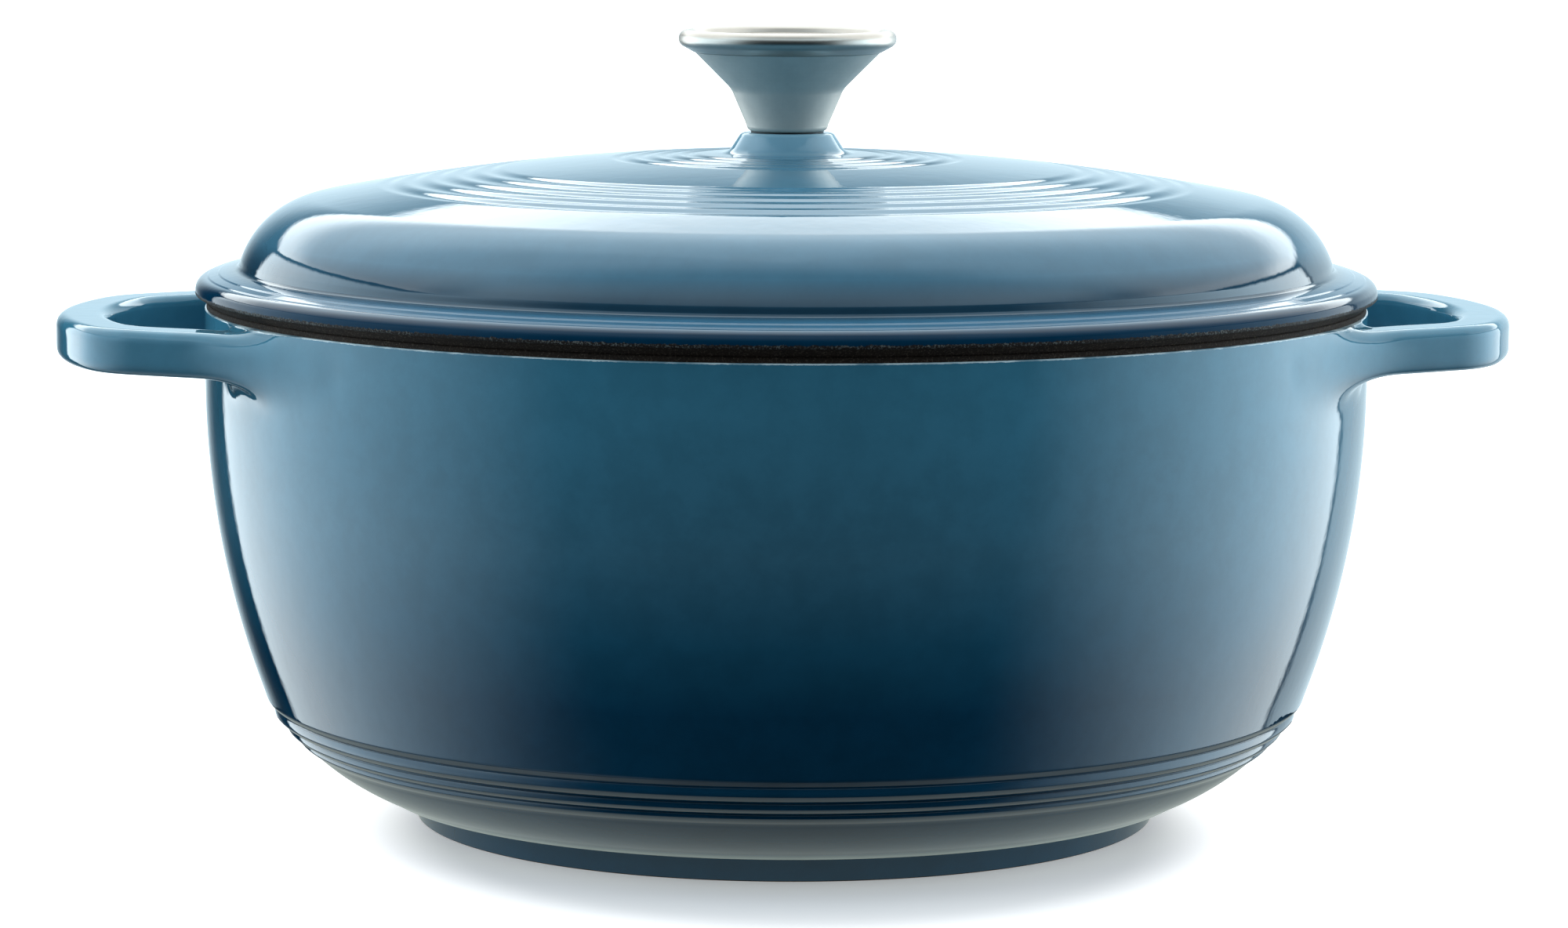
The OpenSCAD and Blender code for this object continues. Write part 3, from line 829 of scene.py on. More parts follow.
def bar_path(s, wall_r, step=1.6):
    """Middle line of the +X handle from root to root: places and outward directions, and the
    upper root, in plan."""
    end_c, corner_c, side = bar_frame(s, wall_r)
    end_mid, corner_mid = s.end_r - s.width / 2, s.corner_r - s.width / 2
    out_dir = toward(side)
    bar = corner_c + corner_mid * out_dir
    along = np.array([-out_dir[1], out_dir[0]])
    reach = bar @ along
    meet = -reach - math.sqrt(reach**2 - bar @ bar + wall_r**2)
    half = []
    for centre, mid, first, last in (
        (end_c, end_mid, 0, s.end_a), (corner_c, corner_mid, s.end_a, side)
    ):
        count = round(mid * (last - first) / step)
        for a in np.linspace(first, last, count, endpoint=False):
            half.append((centre + mid * toward(a), a))
    clear = meet - ROOT_CLEAR
    for d in np.linspace(0, clear, max(2, round(clear / step))):
        half.append((bar + d * along, side))
    places = np.array([p for p, _ in half])
    turns = np.array([a for _, a in half])
    mirrored = places[:0:-1] * [1, -1]
    places = np.vstack([places[::-1], mirrored[::-1]])
    turns = np.concatenate([turns[::-1], -turns[1:]])
    return places, np.stack([np.cos(turns), np.sin(turns)], 1), bar + meet * along


def bar_ring(s, across, up):
    """One ring of points round the bar's rounded section, with the given steps along its
    top and its side: outward and upward distances from the bar's middle."""
    x, y, e = s.width / 2 - s.edge_r, s.height / 2 - s.edge_r, s.edge_r

    def side(half, count):
        """Places along a flat, given by half its length, and half the rounded edge at each
        of its ends."""
        turn = e * math.pi / 4
        whole = 2 * half + 2 * turn
        for d in np.linspace(0, whole, count, endpoint=False):
            past = min(d, whole - d)
            if past >= turn:
                yield half - (d - turn), e
            else:
                a = math.pi / 4 - past / e
                yield math.copysign(half + e * math.sin(a), whole / 2 - d), e * math.cos(a)

    ring = [(a, y + b) for a, b in side(x, across)]
    ring += [(-x - b, a) for a, b in side(y, up)]
    ring += [(-a, -y - b) for a, b in side(x, across)]
    ring += [(x + b, -a) for a, b in side(y, up)]
    return np.array(ring)


class Joined:
    """The surface that the wall and the bars make together, as a distance with soft joints."""

    def __init__(self, pot, curves, handle):
        self.pot, self.c, self.h = pot, curves, handle
        self.mid_z = curves.rim_z - handle.drop - handle.height / 2
        self.end_c, self.corner_c, self.side = bar_frame(handle, pot.wall_r)

    def across(self, p):
        """Signed distance outwards from the bar's middle line, in plan."""
        h = self.h
        q = np.abs(p[:, :2])
        end, corner = q - self.end_c, q - self.corner_c
        end_turn = np.arctan2(end[:, 1], end[:, 0])
        corner_turn = np.arctan2(corner[:, 1], corner[:, 0])
        out_dir = toward(self.side)
        parts = np.stack(
            [
                np.hypot(end[:, 0], end[:, 1]) - (h.end_r - h.width / 2),
                np.hypot(corner[:, 0], corner[:, 1]) - (h.corner_r - h.width / 2),
                corner @ out_dir - (h.corner_r - h.width / 2),
            ]
        )
        apart = np.abs(parts)
        apart[0][end_turn > h.end_a] = FAR
        apart[1][(corner_turn < h.end_a) | (corner_turn > self.side)] = FAR
        apart[2][corner @ np.array([-out_dir[1], out_dir[0]]) < 0] = FAR
        return np.take_along_axis(parts, apart.argmin(0)[None], 0)[0]

    def value(self, p):
        """Distance from the joined surface: the nearer of wall and bar, filled where they
        meet by the blends' reaches, which change from the bar's top round to its under side."""
        h = self.h
        wall = np.hypot(p[:, 0], p[:, 1]) - wall_at(self.pot, self.c, p[:, 2])
        out, up = self.across(p), p[:, 2] - self.mid_z
        qx = np.abs(out) - (h.width / 2 - h.edge_r)
        qy = np.abs(up) - (h.height / 2 - h.edge_r)
        inside = np.minimum(np.maximum(qx, qy), 0)
        bar = np.hypot(np.maximum(qx, 0), np.maximum(qy, 0)) + inside - h.edge_r
        turn = np.arctan2(up * h.width / h.height, out)
        sides = (
            (np.cos(turn), h.blend_out), (-np.cos(turn), h.blend_in),
            (np.sin(turn), h.blend_top), (-np.sin(turn), h.blend_under),
        )
        reach = sum(np.maximum(share, 0) ** 2 * blend_r for share, blend_r in sides)
        near = np.maximum(reach - np.abs(wall - bar), 0) / reach
        return np.minimum(wall, bar) - near * near * reach / 4

    def pull(self, p, rounds, eps=0.01, least=0.05):
        """Moves points straight onto the surface; the slope is measured over eps each way."""
        for _ in range(rounds):
            f = self.value(p)
            rise = [self.value(p + d) - self.value(p - d) for d in np.eye(3) * eps]
            g = np.stack(rise, 1) / (2 * eps)
            p = p - f[:, None] * g / np.maximum((g * g).sum(1), least)[:, None]
        return p

    def pull_out(self, p, start=30, rounds=200, share=0.7):
        """Moves points onto the surface along the pot's radius, from outside."""
        turn = np.arctan2(p[:, 1], p[:, 0])
        r = wall_at(self.pot, self.c, p[:, 2]) + start

        def places():
            return np.stack([r * np.cos(turn), r * np.sin(turn), p[:, 2]], 1)

        for _ in range(rounds):
            r = r - np.maximum(self.value(places()), 0) * share
        return places()


def root_loop(found, heights, columns):
    """The wall's points round an opening, from the corner at its outer side's top."""
    outer, inner = columns
    step = 1 if inner > outer else -1
    loop = [(i, heights[-1]) for i in range(outer, inner, step)]
    loop += [(inner, z) for z in heights[:0:-1]]
    loop += [(i, heights[0]) for i in range(inner, outer, -step)]
    loop += [(outer, z) for z in heights[:-1]]
    return [found[i % TURN_STEPS, round(z, 2)] for i, z in loop]


def draw_bars(work, found, heights, surface, path):
    """Draws each bar's rings between its two openings in the wall, and clears the openings."""
    places, outs = path
    outer, inner = ROOT_COLUMNS
    ring = bar_ring(surface.h, outer - inner, ROOT_UP)
    for side, base in ((1, 0), (-1, TURN_STEPS // 2)):
        columns = [(base + side * outer * sign, base + side * inner * sign) for sign in (1, -1)]
        rings = []
        for place, out in zip(places * [side, 1], outs * [side, 1]):
            x = place[0] + ring[:, 0] * out[0]
            y = place[1] + ring[:, 0] * out[1]
            points = np.stack([x, y, surface.mid_z + ring[:, 1]], 1)
            rings.append([work.verts.new(Vector(p) * MM) for p in points])
        chain = []
        for opening, end in zip(columns, (rings[0], rings[-1])):
            loop = root_loop(found, heights, opening)
            steps = []
            for share in np.linspace(0, 1, ROOT_RINGS + 2)[1:-1]:
                steps.append([work.verts.new(a.co.lerp(b.co, share)) for a, b in zip(loop, end)])
            chain.append([loop] + steps)
        rows = chain[0] + rings + chain[1][::-1]
        for low, high in zip(rows, rows[1:]):
            for i in range(len(ring)):
                j = (i + 1) % len(ring)
                work.faces.new((low[i], low[j], high[j], high[i]))
        for opening in columns:
            low, high = sorted(opening)
            gone = [
                found[i % TURN_STEPS, round(z, 2)]
                for i in range(low + 1, high)
                for z in heights[1:-1]
            ]
            bmesh.ops.delete(work, geom=gone, context="VERTS")


def ease_roots(work, surface, root, heights):
    """Pulls the wall and the bars round the roots onto their joined surface, and evens out
    the points along it."""
    work.verts.ensure_lookup_table()
    work.verts.index_update()
    co = np.array([v.co for v in work.verts]) / MM
    wall_r = surface.pot.wall_r
    reach = np.hypot(np.abs(co[:, 0]) - root[0], np.abs(co[:, 1]) - root[1])
    near = (reach < ROOT_REACH) & (co[:, 2] > heights[0] - ROOT_UNDER)
    top = co[:, 2] > heights[-1] - SAME_ROW / 2
    top &= np.hypot(co[:, 0], co[:, 1]) < wall_r + SAME_ROW
    free = np.flatnonzero(near & ~top)
    beside = [[e.other_vert(work.verts[v]).index for e in work.verts[v].link_edges] for v in free]
    most = max(len(b) for b in beside)
    table = np.array([b + [b[0]] * (most - len(b)) for b in beside])
    weight = np.array([[1] * len(b) + [0] * (most - len(b)) for b in beside], float)
    weight /= weight.sum(1)[:, None]
    co[free] = surface.pull(co[free], rounds=12)
    ease = np.clip((ROOT_REACH - reach[free]) / EASE_FADE, 0, 1)[:, None] * EASE_SHARE
    for _ in range(EASE_ROUNDS):
        middle = (co[table] * weight[:, :, None]).sum(1)
        co[free] += (middle - co[free]) * ease
        co[free] = surface.pull(co[free], rounds=1)
    co[free] = surface.pull(co[free], rounds=4)
    # The row over the openings only moves outwards, and the rim above it stays round
    rim = np.flatnonzero(near & top)
    out = surface.pull_out(co[rim])
    gained = np.maximum(np.hypot(out[:, 0], out[:, 1]) - wall_r, 0)
    gained[co[rim, 2] > heights[-1] + 0.4] = 0
    turn = np.arctan2(co[rim, 1], co[rim, 0])
    co[rim, 0] += gained * np.cos(turn)
    co[rim, 1] += gained * np.sin(turn)
    for v, p in zip(work.verts, co):
        v.co = Vector(p) * MM


def grow_handles(mesh, pot, curves, handle):
    """Opens the wall where the bars' roots are, and draws both bars out of the openings."""
    work = bmesh.new()
    work.from_mesh(mesh)
    heights = [float(z) for z in np.linspace(*ROOT_Z, ROOT_UP + 1)]
    found = {}
    for v in work.verts:
        if v.co.z / MM > heights[0] - 0.5:
            i = round(math.degrees(math.atan2(v.co.y, v.co.x)) * TURN_STEPS / 360) % TURN_STEPS
            found[i, round(v.co.z / MM, 2)] = v
    surface = Joined(pot, curves, handle)
    places, outs, root = bar_path(handle, pot.wall_r)
    draw_bars(work, found, heights, surface, (places, outs))
    ease_roots(work, surface, root, heights)
    bmesh.ops.recalc_face_normals(work, faces=work.faces)
    # The skin is open, so its outermost face says which way round it came out
    if max(work.faces, key=lambda f: f.calc_center_median().x).normal.x < 0:
        bmesh.ops.reverse_faces(work, faces=work.faces)
    work.to_mesh(mesh)
    work.free()


# ---- Materials ----


def material(name, build):
    made = bpy.data.materials.get(name) or bpy.data.materials.new(name)
    made.use_nodes = True
    made.node_tree.nodes.clear()
    shader = build(made.node_tree)
    add(made.node_tree, "ShaderNodeOutputMaterial", {"Surface": shader.outputs[0]})
    return made


def surface(tree, tint, roughness, **inputs):
    """A shader for solid stuff; further inputs go by their names with _ for each space."""
    given = {name.replace("_", " "): value for name, value in inputs.items()}
    return add(
        tree,
        "ShaderNodeBsdfPrincipled",
        {"Base Color": tint, "Roughness": roughness, **given},
    )


def ramp(tree, value, low, high, stops):
    """A colour that follows a value between low and high; stops are (value, colour)."""
    share = add(tree, "ShaderNodeMapRange", {"Value": value, "From Min": low, "From Max": high})
    made = add(tree, "ShaderNodeValToRGB", {"Fac": share.outputs[0]})
    marks = made.color_ramp.elements
    while len(marks) < len(stops):
        marks.new(0.5)
    for mark, (at, tint) in zip(marks, stops):
        mark.position = (at - low) / (high - low)
        mark.color = (*tint, 1)
    return made.outputs["Color"]


def blend(tree, share, under, over):
    """One colour over another; each is a colour or a socket."""
    tints = [t if isinstance(t, bpy.types.NodeSocket) else (*t, 1) for t in (under, over)]
    made = add(tree, "ShaderNodeMix", {0: share, 6: tints[0], 7: tints[1]}, data_type="RGBA")
    return made.outputs[2]


def place_of(tree):
    """Place on the object, with its height and radius in millimetres."""
    place = add(tree, "ShaderNodeTexCoord").outputs["Object"]
    parts = add(tree, "ShaderNodeSeparateXYZ", {0: place})
    flat = add(tree, "ShaderNodeCombineXYZ", {"X": parts.outputs["X"], "Y": parts.outputs["Y"]})
    far = add(tree, "ShaderNodeVectorMath", {0: flat.outputs[0]}, operation="LENGTH")
    height = maths(tree, "DIVIDE", parts.outputs["Z"], MM)
    return place, height, maths(tree, "DIVIDE", far.outputs["Value"], MM)


def noise(tree, place, size, detail=2.0, roughness=0.5):
    """Cloudy noise whose blotches are about size millimetres across."""
    made = add(
        tree,
        "ShaderNodeTexNoise",
        {"Vector": place, "Scale": 1 / (size * MM), "Detail": detail, "Roughness": roughness},
    )
    return made.outputs["Fac"]


def relief(tree, *heights):
    """A normal from heights in millimetres."""
    height = maths(tree, "MULTIPLY", total(tree, *heights), MM)
    bump = {"Height": height, "Distance": 1.0, "Strength": 1.0}
    return add(tree, "ShaderNodeBump", bump).outputs["Normal"]


def peel(tree, place, *waves):
    """Heights of slow waves, each (width, depth)."""
    return [maths(tree, "MULTIPLY", noise(tree, place, w, 1.5), depth) for w, depth in waves]


def mottled(tree, tint, place, size, amount):
    """The colour made a little lighter and darker in blotches."""
    blotch = noise(tree, place, size, detail=4.0, roughness=0.65)
    swing = between(tree, blotch, 0.3, 0.7, 1 - amount, 1 + amount)
    made = add(tree, "ShaderNodeVectorMath", {0: tint, 1: swing}, operation="MULTIPLY")
    return made.outputs[0]


def band(tree, value, base, reach, start=0.0, end=1.0):
    return between(tree, value, base + reach[0], base + reach[1], start, end)


def pot_enamel(look, lip, top):
    """Glossy enamel sprayed light at the top and dark below: the colour fades down the wall,
    faint blotches are the spray's and the waves break up the edges of reflections. A paler
    grey over the belly's lip is a painted reflection of the floor. At the rim a pale ragged
    line is a painted highlight of the enamel's rounded edge, and the dark ground coat shows
    above that."""

    def build(tree):
        place, z, _ = place_of(tree)
        blues = (look.pot_low, look.pot_middle, look.pot_high, look.pot_top)
        tint = ramp(tree, z, low=0, high=125, stops=list(zip(POT_FADE, blues)))
        # Painted reflection: a paler grey band over the belly's lip stands for the floor reflected
        # there
        over_lip = band(tree, z, lip, LIP_REFLECTION_STARTS)
        painted_lip_reflection = product(tree, over_lip, band(tree, z, lip, LIP_REFLECTION_ENDS, 1.0, 0.0))
        tint = blend(tree, painted_lip_reflection, tint, look.painted_lip_reflection)
        tint = mottled(tree, tint, place, size=9, amount=0.07)
        ragged = noise(tree, place, size=1.6, detail=3.0, roughness=0.7)
        frayed = maths(tree, "ADD", z, maths(tree, "MULTIPLY", ragged, 0.5))
        # Painted highlight: a pale ragged line under the enamel's upper edge stands for the glint
        # on its rounded edge
        faint = between(tree, noise(tree, place, size=9), 0.35, 0.55, 0.25, 1.0)
        pale = product(tree, band(tree, frayed, top, RIM_HIGHLIGHT_LINE), faint)
        tint = blend(tree, pale, tint, look.bead)
        bare = band(tree, frayed, top, POT_GROUND)
        tint = blend(tree, bare, tint, look.ground)
        rough = maths(tree, "MULTIPLY_ADD", bare, GROUND_DULLNESS, GLOSS)
        return surface(tree, tint, rough, Normal=relief(tree, *peel(tree, place, *POT_PEEL)))

    return material("porcelain_enamel_pot", build)


def lid_enamel(look, flange_z, drop):
    """The lid's glossy enamel: one blue that darkens over the flange and crumbles to the dark
    ground coat along the flange's lower edge. A darker band where the dome meets the flange is
    painted shade, and a lighter blue on the boss is a painted reflection. Slow swells settle
    where the crown and the dome's foot reflect the room."""

    def build(tree):
        place, z, r = place_of(tree)
        # The darker corner blue is painted shade in the crease where the dome meets the flange
        blues = (
            look.lid_crown, look.lid_corner, look.lid_corner,
            look.lid_flange, look.lid_flange, look.lid_edge,
        )
        tint = ramp(tree, r, low=120, high=140, stops=list(zip(LID_FADE, blues)))
        # Painted reflection: the boss is painted a lighter blue, standing for the bright overhead
        # light that it reflects
        tint = blend(tree, between(tree, r, *BOSS_REFLECTION_FADE, 1.0, 0.0), tint, look.lid_boss)
        tint = mottled(tree, tint, place, size=9, amount=0.05)
        ragged = noise(tree, place, size=1.4, detail=4.0, roughness=0.8)
        frayed = maths(tree, "SUBTRACT", z, maths(tree, "MULTIPLY", ragged, 1.5))
        speck = noise(tree, place, size=0.45, roughness=0.7)
        spread = between(tree, noise(tree, place, size=25), 0.35, 0.6, 0.2, 1.0)
        specks = product(tree, between(tree, speck, 0.5, 0.6), spread)
        crumbs = blend(tree, specks, look.ground, look.crumbs)
        bare = band(tree, frayed, drop, LID_GROUND, 1.0, 0.0)
        tint = blend(tree, bare, tint, crumbs)
        rough = maths(tree, "MULTIPLY_ADD", bare, GROUND_DULLNESS, GLOSS)
        crown = between(tree, r, *CROWN_SWELL, 0.0)
        foot = band(tree, z, flange_z, FOOT_SWELL, 0.0, FOOT_SWELL[2])
        return surface(
            tree, tint, rough,
            Specular_IOR_Level=band(tree, z, drop, LID_GLOSS, EDGE_SHINE, FULL_SHINE),
            Normal=relief(tree, *peel(tree, place, *LID_PEEL), crown, foot),
        )

    return material("porcelain_enamel_lid", build)


def cream_enamel(look):
    """Pale glossy enamel inside: faintly mottled, softly waved, a little duller than outside."""

    def build(tree):
        place, _, _ = place_of(tree)
        clouds = noise(tree, place, size=14, detail=4.0, roughness=0.6)
        tint = blend(tree, clouds, look.cream, look.cream_deep)
        return surface(tree, tint, 0.12, Normal=relief(tree, *peel(tree, place, (8, 0.03))))

    return material("porcelain_enamel_inside", build)


def base_enamel(look):
    """Dark enamel under the foot, dulled in cloudy patches where it stood on the kiln's pins."""

    def build(tree):
        place, _, _ = place_of(tree)
        tint = mottled(tree, look.pot_low, place, size=12, amount=0.12)
        clouds = noise(tree, place, size=18, detail=4.0, roughness=0.6)
        dull = between(tree, clouds, 0.35, 0.7, 0.08, 0.3)
        return surface(tree, tint, dull, Normal=relief(tree, *peel(tree, place, (6, 0.03))))

    return material("porcelain_enamel_base", build)


def cast_iron(look):
    """Bare iron under a thin ground coat: nearly black and matt, with a sandy skin that
    glints grey on its highest grains and shows a little rust in broad patches."""

    def build(tree):
        place, _, _ = place_of(tree)
        grain = noise(tree, place, size=0.45, detail=3.0, roughness=0.7)
        tint = blend(tree, noise(tree, place, size=7, detail=3.0), look.iron, look.rust)
        tint = blend(tree, between(tree, grain, 0.52, 0.66), tint, look.grain)
        bumps = maths(tree, "MULTIPLY", grain, 0.06)
        return surface(tree, tint, 0.8, Specular_IOR_Level=0.15, Normal=relief(tree, bumps))

    return material("bare_cast_iron", build)


def steel(name, tint, roughness, scratch, metallic=1.0):
    """Steel turned on a lathe: fine rings of scratches spread the light round the part."""

    def build(tree):
        place, z, r = place_of(tree)
        rings = add(tree, "ShaderNodeCombineXYZ", {"X": r, "Y": z})
        lines = noise(tree, rings.outputs[0], size=300, detail=3.0, roughness=0.7)
        rough = between(tree, lines, 0.3, 0.7, *roughness)
        cuts = maths(tree, "MULTIPLY", lines, scratch)
        shade = mottled(tree, tint, place, size=6, amount=0.04)
        return surface(tree, shade, rough, Metallic=metallic, Normal=relief(tree, cuts))

    return material(name, build)


def rubber(look):
    """Silicone: soft, matt and very slightly grained."""

    def build(tree):
        place, _, _ = place_of(tree)
        tint = mottled(tree, look.rubber, place, size=2, amount=0.1)
        return surface(tree, tint, 0.6, Normal=relief(tree, *peel(tree, place, (0.4, 0.004))))

    return material("silicone_rubber", build)


def dress(node, finish):
    """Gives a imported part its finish."""
    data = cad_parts[node].data
    data.materials.clear()
    data.materials.append(finish)


# ---- Operators ----


class OVEN_OT_pot_outside(bpy.types.Operator):
    """Pot's outer enamel with ribs, foot and both handles"""

    bl_idname = "oven.pot_outside"
    bl_label = "Pot outside"

    def execute(self, context):
        scene = context.scene
        s, h = sizes(scene.oven_pot), sizes(scene.oven_handle)
        skin, curves = pot_skin(s)
        finish = pot_enamel(scene.oven_finish, s.lip_z, curves.rim_z - s.rim_bare)
        obj = turned("pot_outer_enamel", skin, finish, closed=False)
        grow_handles(obj.data, s, curves, h)
        coat = obj.modifiers.new("coat", "SOLIDIFY")
        coat.thickness = s.coat_t * MM
        coat.offset = -1
        coat.use_rim = True
        settle(obj)
        face_out(obj.data, 50)
        obj.data.shade_smooth()
        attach(obj, "pot")
        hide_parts("pot_exterior_enamel")
        return {"FINISHED"}


class OVEN_OT_pot_inside(bpy.types.Operator):
    """Pale enamel inside the pot, and the coat under its foot"""

    bl_idname = "oven.pot_inside"
    bl_label = "Pot inside"

    def execute(self, context):
        scene = context.scene
        s = sizes(scene.oven_pot)
        c = pot_curves(s)
        finish = cream_enamel(scene.oven_finish)
        outline = cavity_skin(s, c, s.coat_t) + cavity_skin(s, c, 0)[::-1]
        obj = turned("pot_inner_enamel", outline, finish, closed=False, sharp=40)
        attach(obj, "pot")
        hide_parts("pot_interior_enamel")
        foot_in, low, coat = s.foot_r - s.foot_w, s.foot_recess, s.coat_t
        base = [(0, low), (foot_in - low, low), (foot_in - 2 * coat, s.foot_bare)]
        base += [(foot_in - coat, s.foot_bare), (foot_in - low, low + coat), (0, low + coat)]
        under = base_enamel(scene.oven_finish)
        obj = turned("pot_base_enamel", base, under, closed=False, sharp=40)
        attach(obj, "pot")
        return {"FINISHED"}


class OVEN_OT_iron(bpy.types.Operator):
    """Pot's and lid's cast iron, bare at the rim, at the foot and under the lid's edge"""

    bl_idname = "oven.iron"
    bl_label = "Cast iron"

    def execute(self, context):
        scene = context.scene
        s, lid = sizes(scene.oven_pot), sizes(scene.oven_lid)
        finish = cast_iron(scene.oven_finish)
        c = pot_curves(s)
        coat, top = s.coat_t, c.rim_z - s.rim_bare
        rim, bare, edge = c.rim_z, s.foot_bare, IRON_EDGE
        out_r, in_r = s.wall_r - coat, s.wall_r - s.wall_t + coat
        foot_in, foot_out, low = s.foot_r - s.foot_w, s.foot_r - 0.05, s.foot_recess
        core = 2 * coat + CORE_DEPTH
        wall = np.linspace(top - 4, s.ribs_z + 6, 24)
        belly = np.linspace(s.ribs_z, s.lip_z + 3, 10)
        outline = cavity_skin(s, c, coat) + [(in_r, rim - 0.5)]
        outline += bend((in_r, rim - 0.4), (in_r, rim), (in_r + edge, rim), steps=4)
        outline += bend((out_r - edge, rim), (out_r, rim), (out_r, rim - edge), steps=4)
        outline += [(out_r - 0.02, top - edge), (out_r - coat, top - 2)]
        outline += [(on_wall(s, c, z)[0] - core, z) for z in wall]
        outline += [(belly_at(c, z) - core - BELLY_DEPTH, z) for z in belly]
        outline += [(s.foot_r - 3, s.lip_z), (s.foot_r - coat, bare + 1)]
        outline += [(foot_out, bare - 0.02)]
        outline += bend((foot_out, 0.5), (s.foot_r - 0.1, 0), (s.foot_r - 0.7, 0), steps=4)
        outline += bend((foot_in + 0.4, 0), (foot_in - 0.2, 0), (foot_in - 0.4, 0.5), steps=4)
        outline += [(foot_in - 0.4, bare), (foot_in - low, low + coat), (0, low + coat)]
        obj = turned("pot_iron", outline, finish, closed=False, sharp=50)
        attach(obj, "pot")
        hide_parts("pot_casting")
        c = lid_curves(lid)
        skin, edge_z = lid_skin(lid, c, coat)
        drop = edge_z - lid.edge_drop
        seat = s.wall_r - s.rim_bare / 2
        side, ring_z = c.flange_r - coat, rim - lid.ring_drop
        outline = skin + [(side, drop + lid.edge_wrap)]
        outline += bend(
            (side - lid.edge_wrap, drop), (seat + edge, rim + 0.7), (seat, rim), steps=6
        )
        outline += [(c.ring_out + 0.4, rim), (c.ring_out, rim - 0.4)]
        outline += bend(
            (c.ring_out, ring_z + edge), (c.ring_out, ring_z), (c.ring_out - edge, ring_z), steps=4
        )
        outline += under_skin(lid, c, coat)[::-1]
        obj = turned("lid_iron", outline, finish, closed=True, sharp=50)
        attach(obj, "lid")
        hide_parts("lid_casting")
        return {"FINISHED"}


class OVEN_OT_lid_coats(bpy.types.Operator):
    """Lid's enamel outside, with its rings, and inside"""

    bl_idname = "oven.lid_coats"
    bl_label = "Lid coats"

    def execute(self, context):
        scene = context.scene
        s = sizes(scene.oven_lid)
        coat_t = sizes(scene.oven_pot).coat_t
        c = lid_curves(s)
        outer, edge_z = lid_skin(s, c, 0)
        inner, _ = lid_skin(s, c, coat_t)
        drop = edge_z - s.edge_drop
        side, under = c.flange_r, c.flange_r - coat_t
        outer += bend((side, drop + 0.4), (side, drop), (side - 0.4, drop), steps=4)
        inner += [(under, drop + s.edge_wrap), (under - s.edge_wrap, drop)]
        finish = lid_enamel(scene.oven_finish, c.flange_z, drop)
        rings = [
            {"Start": start * MM, "Pitch": pitch * MM, "Count": count, "Depth": s.groove_h * MM}
            for start, pitch, count in (
                (s.inner_rings_r, s.inner_pitch, s.inner_rings),
                (c.outer_rings_r, s.outer_pitch, s.outer_rings),
            )
        ]
        skin = outer + inner[::-1]
        obj = turned("lid_outer_enamel", skin, finish, closed=True, rings=rings, sharp=60)
        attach(obj, "lid")
        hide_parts("lid_exterior_enamel")
        pale = cream_enamel(scene.oven_finish)
        outline = under_skin(s, c, coat_t) + under_skin(s, c, 0)[::-1]
        obj = turned("lid_inner_enamel", outline, pale, closed=True, sharp=40)
        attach(obj, "lid")
        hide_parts("lid_interior_enamel")
        return {"FINISHED"}


class OVEN_OT_knob(bpy.types.Operator):
    """Knob: a pressed steel cone and its rolled, dished top"""

    bl_idname = "oven.knob"
    bl_label = "Knob"

    def execute(self, context):
        scene = context.scene
        s = sizes(scene.oven_knob)
        z0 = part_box("knob_body")[0].z / MM
        mouth_z = z0 + s.height
        slope = (s.mouth_r - s.cone_r) / (s.height - s.cone_z)
        neck_slope = s.neck_flare / s.neck_h
        cross_z = (s.cone_r - s.base_r - slope * s.cone_z) / (neck_slope - slope)
        cross_r = s.base_r + neck_slope * cross_z
        start_z = 2 * cross_z - s.cone_z

        def side(inset):
            """The cone's side from its rounded base to its mouth, set in by inset."""
            low = z0 + s.edge_r - s.base_sink
            neck = (s.base_r + neck_slope * start_z - inset, z0 + start_z)
            bend_at = (cross_r - inset, z0 + cross_z)
            cone = (s.cone_r - inset, z0 + s.cone_z)
            line = arc((s.base_r - s.edge_r, low), s.edge_r - inset, -90, 0, steps=8)
            return line + bend(neck, bend_at, cone, steps=16) + [(s.mouth_r - inset, mouth_z)]

        hole = sizes(scene.oven_lid).hole_r
        brushed = steel(
            "brushed_steel", scene.oven_finish.steel, (0.45, 0.55), scratch=0.004, metallic=0.6
        )
        outline = [(hole, z0)] + side(0) + side(s.sheet_t)[::-1] + [(hole, z0 + s.sheet_t)]
        obj = turned("knob_cone", outline, brushed, closed=True, sharp=40)
        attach(obj, "lid")
        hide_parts("knob_body")
        bead = (s.lip_r - s.bead_r, mouth_z + s.bead_rise)
        dish_z = bead[1] + s.bead_r - s.dish_h
        cap = [(0, dish_z - s.sheet_t), (s.mouth_r - s.sheet_t, mouth_z + 0.4)]
        cap += [(s.mouth_r - 0.2, mouth_z + 0.01), (s.mouth_r + 0.35, mouth_z + 0.12)]
        cap += arc(bead, s.bead_r, -65, 140, steps=24)
        inner = (bead[0] - s.bead_r, bead[1] + 0.6)
        cap += bend(inner, (bead[0] - 5, dish_z), (0, dish_z), steps=12)
        polished = steel(
            "polished_steel", scene.oven_finish.polished, (0.28, 0.38), scratch=0.003
        )
        obj = turned("knob_top", cap, polished, closed=False, sharp=40)
        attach(obj, "lid")
        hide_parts("knob_cap")
        return {"FINISHED"}


class OVEN_OT_metalwork(bpy.types.Operator):
    """Finishes of the seal and the knob's fixing"""

    bl_idname = "oven.metalwork"
    bl_label = "Fixings"

    def execute(self, context):
        look = context.scene.oven_finish
        seal = rubber(look)
        zinc = steel("zinc_plated_steel", look.zinc, (0.25, 0.4), scratch=0.002)
        for node in ("knob_insert", "knob_screw", "flat_washer", "lock_washer"):
            dress(node, zinc)
        dress("knob_seal", seal)
        return {"FINISHED"}


def edge_of(tree, value, edge, sign):
    """1 inside a light's soft edge and 0 outside it; sign is 1 where the light lies above it."""
    place, soft = edge
    return between(tree, value, place - sign * soft / 2, place + sign * soft / 2)


